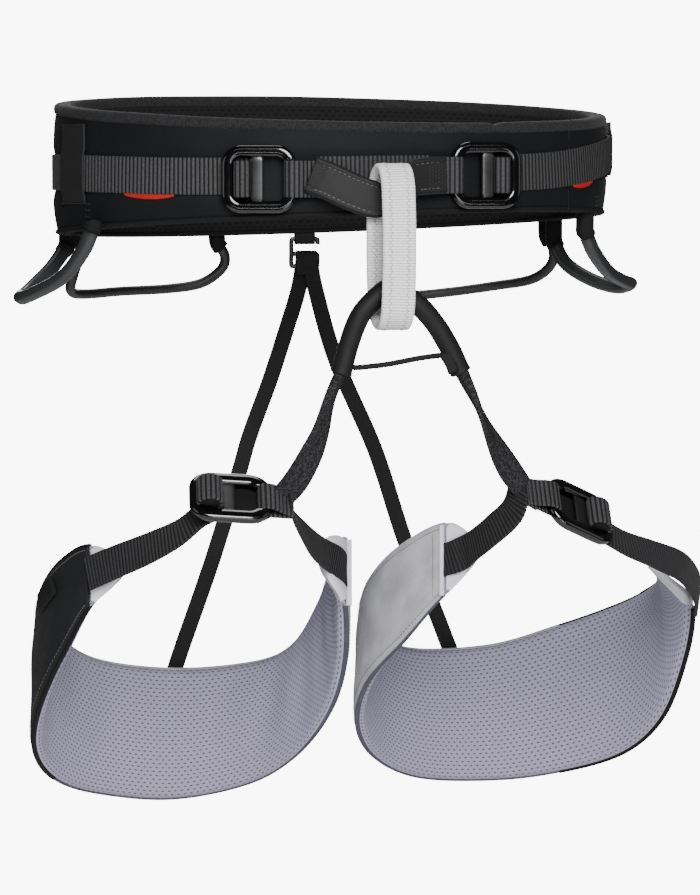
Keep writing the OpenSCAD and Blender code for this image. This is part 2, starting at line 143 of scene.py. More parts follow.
@dataclass
class Path:
    """A chain of places with the two directions that a section is laid out in."""

    centre: Array
    across: Array
    out: Array
    closed: bool = False

    @classmethod
    def through(cls, centre: Array, ups: Array, closed: bool = False) -> "Path":
        """Frames along a chain: across is the up vector squared to the run, out is run x across.

        Args:
            centre: (n, 3) places.
            ups: (n, 3) or (3,) vectors near the direction of the width.
            closed: whether the chain joins its own start.
        """
        if closed:
            run = unit(np.roll(centre, -1, 0) - np.roll(centre, 1, 0))
        else:
            run = unit(np.gradient(centre, axis=0))
        up = np.broadcast_to(ups, centre.shape)
        across = unit(up - np.sum(up * run, -1, keepdims=True) * run)
        return cls(centre, across, np.cross(run, across), closed)

    @classmethod
    def route(cls, points: Points, ups: Points, step: float) -> "Path":
        """A spline route resampled to even steps of its own length.

        Args:
            points: route points in mm.
            ups: one width direction for each point, or one for all.
            step: distance between samples, in mm.
        """
        dense = spline(points, ROUTE_SAMPLES)
        own = len(ups) == len(points) and np.ndim(ups) == 2
        turned = spline(ups, ROUTE_SAMPLES) if own else np.tile(ups, (ROUTE_SAMPLES, 1))
        length = arc(dense)
        even = np.linspace(0, length[-1], max(4, int(length[-1] / step) + 1))
        pick = [np.stack([np.interp(even, length, a[:, k]) for k in range(3)], -1) for a in (dense, turned)]
        return cls.through(*pick)

    def length(self) -> Array:
        """Distance run at each place, with the whole length added last on a closed chain."""
        chain = np.vstack([self.centre, self.centre[:1]]) if self.closed else self.centre
        return arc(chain)

    def carry(self, section: Array) -> Array:
        """Places each section point: centre + across times its first number + out times its second.

        Args:
            section: (k, 2) or (n, k, 2) in mm.

        Returns:
            (n, k, 3) points.
        """
        shape = np.broadcast_to(section, (len(self.centre),) + section.shape[-2:])
        return (
            self.centre[:, None] + self.across[:, None] * shape[..., :1] + self.out[:, None] * shape[..., 1:]
        )


def arc(chain: Array) -> Array:
    """Distance run along a chain of points, from 0."""
    return np.concatenate([[0], np.cumsum(np.linalg.norm(np.diff(chain, axis=0), axis=-1))])


def evened(chain: Array, count: int, closed: bool = False) -> Array:
    """The same line with its points at even distances.

    Args:
        chain: points along the line; a closed one ends with its first point again.
        count: how many points to take.
        closed: whether to leave the repeated last point out.

    Returns:
        An array of count points.
    """
    length = arc(chain)
    even = np.linspace(0, length[-1], count, endpoint=not closed)
    return np.stack([np.interp(even, length, column) for column in chain.T], -1)


def round_section(width: float, height: float, count: int = 16, power: float = 2) -> Array:
    """Superellipse: half sizes times cos and sin, each raised to 2 over the power, keeping its sign."""
    turn = np.arange(count) * 2 * np.pi / count
    wave = np.stack([np.cos(turn), np.sin(turn)], -1)
    return np.sign(wave) * np.abs(wave) ** (2 / power) * np.array([width, height]) / 2


def flat_section(width: float, thick: float, across: int = 10) -> Array:
    """Strap section: two flat faces joined by half-round edges of half the thickness."""
    r = thick / 2
    row = np.linspace(-(width / 2 - r), width / 2 - r, across)
    edge = np.radians([60, 20, -20, -60])
    right = np.stack([width / 2 - r + r * np.cos(edge), r * np.sin(edge)], -1)
    top = np.stack([row, np.full(across, r)], -1)
    return np.vstack([top, right, top[::-1] * [1, -1], (right * [-1, -1])])


# ---- Meshes ----------------------------------------------------------------------------


def add_mesh(name: str, points: Array, faces: Array, cloth: Array | None,
             material: bpy.types.Material) -> bpy.types.Object:
    """Makes an object at the origin from arrays in mm, with a UV map in mm where cloth is given.

    Args:
        name: the piece's name.
        points: (m, 3) vertices.
        faces: (q, 4) vertex indices, all turning the same way.
        cloth: (q, 4, 2) corner coordinates in mm, or None.
        material: the finish.

    Returns:
        The new object.
    """
    a, b, c, d = (points[faces[:, k]] for k in range(4))
    volume = np.sum(np.cross(a, b) * c) + np.sum(np.cross(a, c) * d)
    if volume < 0:
        faces = faces[:, ::-1]
        cloth = None if cloth is None else cloth[:, ::-1]
    mesh = bpy.data.meshes.new(name)
    mesh.vertices.add(len(points))
    mesh.vertices.foreach_set("co", (points * MM).astype(np.float32).ravel())
    mesh.loops.add(faces.size)
    mesh.loops.foreach_set("vertex_index", faces.astype(np.int32).ravel())
    mesh.polygons.add(len(faces))
    mesh.polygons.foreach_set("loop_start", np.arange(0, faces.size, 4, dtype=np.int32))
    mesh.polygons.foreach_set("use_smooth", np.ones(len(faces), bool))
    mesh.update(calc_edges=True)
    if cloth is not None:
        layer = mesh.uv_layers.new(name=CLOTH)
        layer.data.foreach_set("uv", cloth.astype(np.float32).ravel())
    mesh.materials.append(material)
    mesh.validate()
    piece = bpy.data.objects.new(name, mesh)
    bpy.context.scene.collection.objects.link(piece)
    return piece


def skin(name: str, rings: Array, material: bpy.types.Material, closed: bool = False) -> bpy.types.Object:
    """Closed surface through rings of points, with strips across its ends where it isn't a loop.

    The cloth coordinates are the distance along the rings' mean line and the distance round the
    middle ring, both in mm.

    Args:
        name: the piece's name.
        rings: (n, k, 3) points in mm, k even.
        material: the finish.
        closed: whether the last ring joins the first.

    Returns:
        The new object.
    """
    n, k = rings.shape[:2]
    spans = n if closed else n - 1
    i, j = np.meshgrid(np.arange(spans), np.arange(k), indexing="ij")
    grid = np.stack([i, i, (i + 1) % n, (i + 1) % n], -1) * k + np.stack([j, (j + 1) % k, (j + 1) % k, j], -1)
    middle = rings.mean(1)
    along = arc(np.vstack([middle, middle[:1]]))
    waist = rings[n // 2]
    round_it = arc(np.vstack([waist, waist[:1]]))
    cloth = np.stack(
        [along[np.stack([i, i, i + 1, i + 1], -1)], round_it[np.stack([j, j + 1, j + 1, j], -1)]], -1
    )
    faces, corners = [grid.reshape(-1, 4)], [cloth.reshape(-1, 4, 2)]
    if not closed:
        half = np.arange(k // 2 - 1)
        strip = np.stack([half, k - 1 - half, k - 2 - half, half + 1], -1)
        for ring, start in ((strip, 0), (strip[:, ::-1], (n - 1) * k)):
            faces.append(ring + start)
            flat = np.stack([np.full(ring.shape, along[0 if start == 0 else n - 1]), round_it[ring]], -1)
            corners.append(flat)
    return add_mesh(name, rings.reshape(-1, 3), np.vstack(faces), np.vstack(corners), material)


def threads(name: str, centre: Array, along: Array, up: Array, length: float, width: float,
            material: bpy.types.Material) -> bpy.types.Object:
    """Stitches: one small spindle for each place, lying on the cloth.

    A spindle is four rings of six points whose radius is the square root of 1 - t^2 along it.

    Args:
        name: the piece's name.
        centre: (m, 3) middles of the stitches in mm.
        along: (m, 3) unit directions of the stitches.
        up: (m, 3) unit directions out of the cloth.
        length: length of a stitch in mm.
        width: thickness of the thread in mm.
        material: the finish.

    Returns:
        The new object.
    """
    t = np.array([-0.98, -0.5, 0.5, 0.98])
    turn = np.arange(6) * np.pi / 3
    radius = np.sqrt(1 - t**2) * width / 2
    local = np.stack(
        [
            np.repeat(t * length / 2, 6),
            (radius[:, None] * np.cos(turn)).ravel(),
            (radius[:, None] * np.sin(turn)).ravel(),
        ],
        -1,
    )
    side = np.cross(up, along)
    axes = np.stack([along, side, np.broadcast_to(up, along.shape)], 1)
    points = centre[:, None] + np.einsum("vk,mkd->mvd", local, axes)
    i, j = np.meshgrid(np.arange(3), np.arange(6), indexing="ij")
    walls = np.stack([i * 6 + j, i * 6 + (j + 1) % 6, (i + 1) * 6 + (j + 1) % 6, (i + 1) * 6 + j], -1)
    walls = walls.reshape(-1, 4)
    end = np.array([[0, 5, 4, 1], [1, 4, 3, 2]])
    one = np.vstack([walls, end, end[:, ::-1] + 18])
    faces = (one[None] + 24 * np.arange(len(centre))[:, None, None]).reshape(-1, 4)
    return add_mesh(name, points.reshape(-1, 3), faces, None, material)


def place(piece: bpy.types.Object, body: str, slot: str, *nodes: str) -> bpy.types.Object:
    """Rides a piece on a body and hides the CAD nodes that it stands for."""
    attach(piece, body)
    if nodes:
        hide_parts(*nodes)
    LOG.info("%s: %d faces on %s", piece.name, len(piece.data.polygons), body)
    return piece


# ---- Finishes --------------------------------------------------------------------------


def linear(code: str) -> tuple[float, float, float, float]:
    """An sRGB hex colour as linear values: c/12.92 below 0.04045, else ((c+0.055)/1.055)^2.4."""
    values = [int(code[k : k + 2], 16) / 255 for k in (1, 3, 5)]
    return tuple(v / 12.92 if v <= 0.04045 else ((v + 0.055) / 1.055) ** 2.4 for v in values) + (1.0,)


def add_node(tree: bpy.types.NodeTree, kind: str, inputs: dict | None = None, **settings) -> bpy.types.Node:
    """Adds a node, sets its options, and fills its sockets with values or links.

    Args:
        tree: the node tree.
        kind: the node's type.
        inputs: socket name or number to a value or to another node's output.
        settings: options of the node.

    Returns:
        The new node.
    """
    node = tree.nodes.new(kind)
    for key, value in settings.items():
        setattr(node, key, value)
    for key, value in (inputs or {}).items():
        if isinstance(value, bpy.types.NodeSocket):
            tree.links.new(value, node.inputs[key])
        else:
            node.inputs[key].default_value = value
    return node


def band_scale(period: float) -> float:
    """The Wave texture's scale for a period in mm: its sine turns 20 times the coordinate."""
    return 2 * np.pi / (20 * period)


@dataclass(frozen=True)
class Finish:
    """What every finish has: a principled shader with constants on its own sockets."""

    name: str
    colour: str
    roughness: float = 0.8
    ior: float = 1.5
    sheen: float = 0.0
    coat: float = 0.0
    metallic: float = 0.0
    specular: float = 0.5

    def make(self) -> bpy.types.Material:
        """Builds the material: the shader first, then the surface that the finish adds to it."""
        material = bpy.data.materials.new(self.name)
        material.use_nodes = True
        tree = material.node_tree
        shader = tree.nodes["Principled BSDF"]
        shader.inputs["Base Color"].default_value = linear(self.colour)
        shader.inputs["Roughness"].default_value = self.roughness
        shader.inputs["IOR"].default_value = self.ior
        shader.inputs["Specular IOR Level"].default_value = self.specular
        shader.inputs["Metallic"].default_value = self.metallic
        shader.inputs["Sheen Weight"].default_value = self.sheen
        shader.inputs["Sheen Roughness"].default_value = 0.4
        shader.inputs["Coat Weight"].default_value = self.coat
        shader.inputs["Coat Roughness"].default_value = 0.08
        material.diffuse_color = linear(self.colour)
        self.dress(tree, shader)
        return material

    def dress(self, tree: bpy.types.NodeTree, shader: bpy.types.Node) -> None:
        """Adds the colour pattern and relief. The plain finish has none."""

    def cloth(self, tree: bpy.types.NodeTree) -> bpy.types.NodeSocket:
        """The piece's own cloth coordinates, in mm."""
        return add_node(tree, "ShaderNodeUVMap", uv_map=CLOTH).outputs["UV"]

    def relief(self, tree: bpy.types.NodeTree, shader: bpy.types.Node, height: bpy.types.NodeSocket,
               depth: float, strength: float = 1.0) -> None:
        """Links a height of 0..1 to the shader's normal, depth being in mm."""
        node = add_node(
            tree, "ShaderNodeBump", {"Height": height, "Distance": depth * MM, "Strength": strength}
        )
        tree.links.new(node.outputs["Normal"], shader.inputs["Normal"])

    def tint(self, tree: bpy.types.NodeTree, shader: bpy.types.Node, share: bpy.types.NodeSocket,
             other: str) -> bpy.types.NodeSocket:
        """Mixes from the other colour at 0 to the base colour at 1, and links it."""
        mix = add_node(
            tree, "ShaderNodeMix", {"Factor": share, 6: linear(other), 7: linear(self.colour)},
            data_type="RGBA",
        )
        tree.links.new(mix.outputs[2], shader.inputs["Base Color"])
        return mix.outputs[2]


@dataclass(frozen=True)
class PlainWeave(Finish):
    """Woven nylon or polyester: fine crossing threads and a slow unevenness of colour."""

    specular: float = 0.25
    thread: float = 0.7
    shade: str = "#000000"
    depth: float = 0.08
    cloudy: float = 0.35

    def dress(self, tree: bpy.types.NodeTree, shader: bpy.types.Node) -> None:
        """Relief is the higher of two thread waves at right angles; colour follows a soft noise."""
        cloth = self.cloth(tree)
        scale = band_scale(self.thread)
        waves = [
            add_node(
                tree, "ShaderNodeTexWave",
                {"Vector": cloth, "Scale": scale, "Distortion": 0.4, "Detail": 1.0, "Detail Scale": 0.5},
                bands_direction=way,
            ).outputs["Fac"]
            for way in ("X", "Y")
        ]
        weave = add_node(tree, "ShaderNodeMath", {0: waves[0], 1: waves[1]}, operation="MAXIMUM").outputs[0]
        cloud = add_node(
            tree, "ShaderNodeTexNoise", {"Vector": cloth, "Scale": 0.06, "Detail": 4.0}, noise_dimensions="2D"
        ).outputs["Fac"]
        share = add_node(
            tree, "ShaderNodeMapRange",
            {"Value": cloud, "From Min": 0.35, "From Max": 0.65, "To Min": 1 - self.cloudy, "To Max": 1.0},
        ).outputs["Result"]
        fine = add_node(
            tree, "ShaderNodeMapRange", {"Value": weave, "To Min": 0.8, "To Max": 1.0}
        ).outputs["Result"]
        both = add_node(tree, "ShaderNodeMath", {0: share, 1: fine}, operation="MULTIPLY").outputs[0]
        self.tint(tree, shader, both, self.shade)
        self.relief(tree, shader, weave, self.depth, 0.6)


@dataclass(frozen=True)
class RibbedWebbing(Finish):
    """Woven polyester webbing: raised ribs across its width with fine threads, the colour darkened between
    the ribs as painted shade in the grooves.
    """

    specular: float = 0.25
    pitch: float = 2.4
    # shade: colour of the gaps between the ribs, painted shade in the grooves
    shade: str = "#0b0b0c"
    gap_share: float = 0.35

    def dress(self, tree: bpy.types.NodeTree, shader: bpy.types.Node) -> None:
        """Rib share is the cosine along the strap and tints the gaps to the shade colour, painted shade
        between the ribs; threads are a finer wave and a stretched noise.
        """
        cloth = self.cloth(tree)
        rib = add_node(
            tree, "ShaderNodeTexWave",
            {"Vector": cloth, "Scale": band_scale(self.pitch), "Phase Offset": np.pi / 2},
            bands_direction="X",
        ).outputs["Fac"]
        thread = add_node(
            tree, "ShaderNodeTexWave", {"Vector": cloth, "Scale": band_scale(0.55), "Distortion": 1.5},
            bands_direction="Y",
        ).outputs["Fac"]
        grain = add_node(
            tree, "ShaderNodeTexNoise", {"Vector": cloth, "Scale": 0.9, "Detail": 3.0}, noise_dimensions="2D"
        ).outputs["Fac"]
        share = add_node(
            tree, "ShaderNodeMapRange",
            {"Value": rib, "From Min": 0.1, "From Max": self.gap_share + 0.3},
            interpolation_type="SMOOTHSTEP",
        ).outputs["Result"]
        rough = add_node(
            tree, "ShaderNodeMapRange",
            {"Value": grain, "From Min": 0.3, "From Max": 0.7, "To Min": 0.65, "To Max": 1.0},
        ).outputs["Result"]
        # Painted shade between the ribs, times a random grain of colour
        rib_shade_and_grain = add_node(tree, "ShaderNodeMath", {0: share, 1: rough}, operation="MULTIPLY").outputs[0]
        self.tint(tree, shader, rib_shade_and_grain, self.shade)
        mixed = add_node(
            tree, "ShaderNodeMath", {0: thread, 1: 0.35, 2: rib}, operation="MULTIPLY_ADD"
        ).outputs[0]
        self.relief(tree, shader, mixed, 0.18, 0.7)


@dataclass(frozen=True)
class PerforatedMesh(Finish):
    """Spacer mesh over foam: staggered oval holes in a fine knit, the holes tinted to the shade colour as
    painted shade.
    """

    specular: float = 0.25
    pitch_u: float = 3.8
    pitch_v: float = 2.35
    hole_u: float = 0.8
    hole_v: float = 0.4
    # shade: colour of the holes, painted shade inside them
    shade: str = "#3d3a4a"
    depth: float = 0.35

    def dress(self, tree: bpy.types.NodeTree, shader: bpy.types.Node) -> None:
        """Two lattices of holes, the second moved half a pitch each way; distance is the oval's own. The
        holes take the shade colour, painted shade inside them.
        """
        cloth = self.cloth(tree)
        near = []
        for shift in ((0, 0, 0), (self.pitch_u / 2, self.pitch_v, 0)):
            moved = add_node(tree, "ShaderNodeVectorMath", {0: cloth, 1: shift}, operation="ADD").outputs[0]
            cell = add_node(
                tree, "ShaderNodeVectorMath",
                {0: moved, 1: (self.pitch_u / 2, self.pitch_v, 1), 2: (-self.pitch_u / 2, -self.pitch_v, -1)},
                operation="WRAP",
            ).outputs[0]
            oval = add_node(
                tree, "ShaderNodeVectorMath", {0: cell, 1: (1 / self.hole_u, 1 / self.hole_v, 0)},
                operation="MULTIPLY",
            ).outputs[0]
            far = add_node(tree, "ShaderNodeVectorMath", {0: oval}, operation="LENGTH").outputs["Value"]
            near.append(far)
        hole = add_node(tree, "ShaderNodeMath", {0: near[0], 1: near[1]}, operation="MINIMUM").outputs[0]
        solid = add_node(
            tree, "ShaderNodeMapRange", {"Value": hole, "From Min": 0.55, "From Max": 1.5},
            interpolation_type="SMOOTHSTEP",
        ).outputs["Result"]
        knit = add_node(
            tree, "ShaderNodeTexNoise", {"Vector": cloth, "Scale": 1.3, "Detail": 3.0}, noise_dimensions="2D"
        ).outputs["Fac"]
        grain = add_node(
            tree, "ShaderNodeMapRange",
            {"Value": knit, "From Min": 0.3, "From Max": 0.7, "To Min": 0.86, "To Max": 1.0},
        ).outputs["Result"]
        share = add_node(tree, "ShaderNodeMath", {0: solid, 1: grain}, operation="MULTIPLY").outputs[0]
        # Holes tinted to the shade colour as painted shade, times the knit's grain
        self.tint(tree, shader, share, self.shade)
        high = add_node(
            tree, "ShaderNodeMath", {0: knit, 1: 0.25, 2: solid}, operation="MULTIPLY_ADD"
        ).outputs[0]
        self.relief(tree, shader, high, self.depth, 0.8)


@dataclass(frozen=True)
class Knit(Finish):
    """Knitted tape: flecks of light yarn in a dark ground, with loops about a millimetre apart."""

    specular: float = 0.25
    fleck: str = "#5a5a5c"
    loop: float = 1.1
    amount: float = 0.5

    def dress(self, tree: bpy.types.NodeTree, shader: bpy.types.Node) -> None:
        """Flecks are the low cells of a Voronoi pattern of loops; relief is the cells' domes."""
        cloth = self.cloth(tree)
        cells = add_node(
            tree, "ShaderNodeTexVoronoi", {"Vector": cloth, "Scale": 1 / self.loop, "Randomness": 0.75},
            voronoi_dimensions="2D",
        )
        spread = add_node(tree, "ShaderNodeSeparateColor", {"Color": cells.outputs["Color"]}).outputs[0]
        plain = add_node(
            tree, "ShaderNodeMapRange",
            {"Value": spread, "From Min": self.amount - 0.3, "From Max": self.amount + 0.3, "To Min": 0.25},
        ).outputs["Result"]
        self.tint(tree, shader, plain, self.fleck)
        dome = add_node(tree, "ShaderNodeMath", {0: 1.0, 1: cells.outputs["Distance"]}, operation="SUBTRACT")
        self.relief(tree, shader, dome.outputs[0], 0.25, 0.7)


@dataclass(frozen=True)
class Moulded(Finish):
    """Moulded or coated hard surface: a slight unevenness of gloss and a fine grain."""

    grain: float = 900.0
    depth: float = 0.02
    spread: float = 0.12

    def dress(self, tree: bpy.types.NodeTree, shader: bpy.types.Node) -> None:
        """Roughness wanders with a noise over the object's coordinates; relief is a finer noise."""
        place_on = add_node(tree, "ShaderNodeTexCoord").outputs["Object"]
        slow = add_node(
            tree, "ShaderNodeTexNoise", {"Vector": place_on, "Scale": 120.0, "Detail": 3.0}
        ).outputs["Fac"]
        gloss = add_node(
            tree, "ShaderNodeMapRange",
            {"Value": slow, "From Min": 0.3, "From Max": 0.7, "To Min": self.roughness - self.spread / 2,
             "To Max": self.roughness + self.spread / 2},
        ).outputs["Result"]
        tree.links.new(gloss, shader.inputs["Roughness"])
        fine = add_node(
            tree, "ShaderNodeTexNoise", {"Vector": place_on, "Scale": self.grain, "Detail": 2.0}
        ).outputs["Fac"]
        self.relief(tree, shader, fine, self.depth, 0.5)


class Finishes:
    """One material for each finish of the harness, made once."""

    def __init__(self) -> None:
        """Builds the materials."""
        # Coated nylon shell: tight smooth weave, dull sheen, cool black
        self.shell = PlainWeave(
            "coated_nylon_shell", "#0e0f11", 0.62, sheen=0.02, specular=0.12, shade="#0b0c0e"
        ).make()
        # Polyester spacer mesh inside the belt: black, holed, matte, near-black painted shade in the holes
        self.belt_mesh = PerforatedMesh(
            "black_spacer_mesh", "#101011", 0.9, shade="#020202", hole_u=1.15, hole_v=0.62, pitch_u=4.4,
            pitch_v=2.7, sheen=0.03,
        ).make()
        # Knitted elastic binding folded over the belt's edge
        self.binding = Knit(
            "knitted_edge_binding", "#161617", 0.9, fleck="#252527", loop=0.8, sheen=0.05
        ).make()
        self.hem = PlainWeave("folded_nylon_hem", "#080809", 0.85, shade="#040405").make()
        # Polyester load webbing: grey ribs over black gaps, the black being painted shade in the grooves
        self.webbing = RibbedWebbing(
            "ribbed_polyester_webbing", "#3c3c3e", 0.75, sheen=0.04, shade="#040404"
        ).make()
        # Leg webbing: its shade colour is painted shade between the ribs
        self.leg_webbing = RibbedWebbing(
            "ribbed_leg_webbing", "#2a2a2c", 0.75, pitch=2.2, sheen=0.04, shade="#050505"
        ).make()
        # Flat woven elastic: smooth, slightly soft black
        self.elastic = PlainWeave("flat_woven_elastic", "#0d0d0e", 0.75, thread=0.6, shade="#08080a").make()
        self.keeper = PlainWeave(
            "elastic_keeper_weave", "#151516", 0.6, thread=0.5, shade="#0e0e0f", sheen=0.03
        ).make()
        self.red = PlainWeave("red_marker_tape", "#a01510", 0.8, shade="#6c0a08").make()
        # Hot-forged aluminium, black gloss coat: sharp long highlights
        self.buckle = Moulded(
            "gloss_black_coated_aluminium", "#020203", 0.12, coat=0.3, spread=0.04, specular=0.45
        ).make()
        self.bar = Moulded("satin_grey_coated_bar", "#151516", 0.35, coat=0.1).make()
        # Nylon sleeve sewn over the tie-in webbing: smooth with a soft sheen
        self.sleeve = PlainWeave(
            "smooth_nylon_sleeve", "#0a0a0b", 0.55, thread=0.5, shade="#070708", sheen=0.02
        ).make()
        # Undyed polyester belay webbing: near white, fine ribs, grey painted shade between them
        self.belay = RibbedWebbing(
            "white_belay_webbing", "#f4f4f3", 0.8, pitch=1.45, shade="#b4b4b6", gap_share=0.2, sheen=0.1
        ).make()
        # Glass-filled nylon gear loops: satin charcoal
        self.gear = Moulded("moulded_charcoal_nylon", "#232425", 0.34, grain=700.0, depth=0.03).make()
        self.rear_gear = Moulded("moulded_black_nylon", "#0c0c0d", 0.45, grain=700.0, depth=0.03).make()
        self.tube = PlainWeave(
            "tubular_bridge_sleeve", "#0f0f10", 0.6, thread=0.6, shade="#09090a", sheen=0.03
        ).make()
        # Polyamide tape: black with grey flecks
        self.tape = Knit(
            "flecked_knitted_tape", "#0f0f10", 0.85, fleck="#343437", loop=0.75, amount=0.35
        ).make()
        # Lavender spacer mesh against the thigh, dark painted shade in its holes
        self.leg_mesh = PerforatedMesh(
            "lavender_spacer_mesh", "#8f8b9f", 0.85, shade="#4a4658", sheen=0.06
        ).make()
        self.leg_shell = PlainWeave("coated_leg_shell", "#141517", 0.62, shade="#0d0e0f", sheen=0.03).make()
        # Light grey ripstop on the inner side of the leg loop
        self.panel = PlainWeave(
            "light_grey_leg_fabric", "#a6a6aa", 0.75, shade="#7c7c82", sheen=0.1, cloudy=0.45
        ).make()
        self.piping = PlainWeave("leg_edge_piping", "#4a4956", 0.8, thread=0.6, shade="#2f2e38").make()
        self.tip = PlainWeave(
            "moulded_white_tip", "#d2d2d8", 0.7, shade="#b2b2ba", sheen=0.05, cloudy=0.2
        ).make()
        # Bonded polyester thread
        self.black_thread = Finish("black_thread", "#0c0c0d", 0.6).make()
        self.grey_thread = Finish("grey_thread", "#5a5a5c", 0.6).make()
        self.white_thread = Finish("white_thread", "#a9a9ac", 0.6).make()
        self.hook = Moulded("moulded_hook", "#070708", 0.4).make()


# ---- Webbing ---------------------------------------------------------------------------


def webbing_rings(path: Path, width: float | Array, thick: float, pitch: float, depth: float = 0.32) -> Array:
    """Rings of a ribbed strap: the section's thickness swells by the rib share along the path.

    The share is the absolute cosine of pi times the distance over the pitch, to the power 0.7.

    Args:
        path: the strap's path.
        width: width of the strap in mm, or one width for each place.
        thick: thickness in the gaps, in mm.
        pitch: distance between ribs in mm.
        depth: rib height as a share of the thickness.

    Returns:
        (n, k, 3) points.
    """
    run = path.length()[: len(path.centre)]
    rib = np.abs(np.cos(np.pi * run / pitch)) ** 0.7
    widths = np.broadcast_to(width, run.shape)
    base = flat_section(20.0, thick)
    section = base[None] * np.stack([widths / 20.0, 1 - depth / 2 + depth * rib], -1)[:, None]
    return path.carry(section)


@dataclass
class Strap:
    """A flat ribbed strap between two sewn ends."""

    name: str
    points: Points
    ups: Points
    width: float = 20.0
    thick: float = 1.8
    pitch: float = 2.4

    def path(self) -> Path:
        """The strap's path, with the same number of samples to each rib."""
        return Path.route(self.points, self.ups, self.pitch / STEPS_PER_RIB)

    def build(self, material: bpy.types.Material) -> bpy.types.Object:
        """Makes the ribbed strap."""
        return skin(self.name, webbing_rings(self.path(), self.width, self.thick, self.pitch), material)


def bar_tack(name: str, centre: Array, along: Array, across: Array, up: Array, size: tuple[float, float],
             material: bpy.types.Material, rows: int = 3) -> bpy.types.Object:
    """A block of close stitches: rows across the strap, each a zigzag of short threads.

    Args:
        name: the piece's name.
        centre: the block's middle on the cloth, in mm.
        along: unit direction of the strap.
        across: unit direction of its width.
        up: unit direction out of the cloth.
        size: the block's length along and across the strap, in mm.
        material: the thread.
        rows: how many rows of stitches.

    Returns:
        The new object.
    """
    count = int(size[1] / 0.9)
    rows_at = np.linspace(-0.5, 0.5, rows) * size[0] if rows > 1 else np.zeros(1)
    a, b = np.meshgrid(rows_at, np.linspace(-0.5, 0.5, count) * size[1], indexing="ij")
    a, b = a.ravel(), b.ravel()
    lean = np.where(np.arange(len(b)) % 2 == 0, 0.45, -0.45)
    heading = unit(along[None] * 1.0 + across[None] * lean[:, None])
    spots = centre + along * a[:, None] + across * b[:, None]
    return threads(name, spots, heading, np.broadcast_to(up, heading.shape), 1.7, 0.55, material)


# ---- Waist belt ------------------------------------------------------------------------


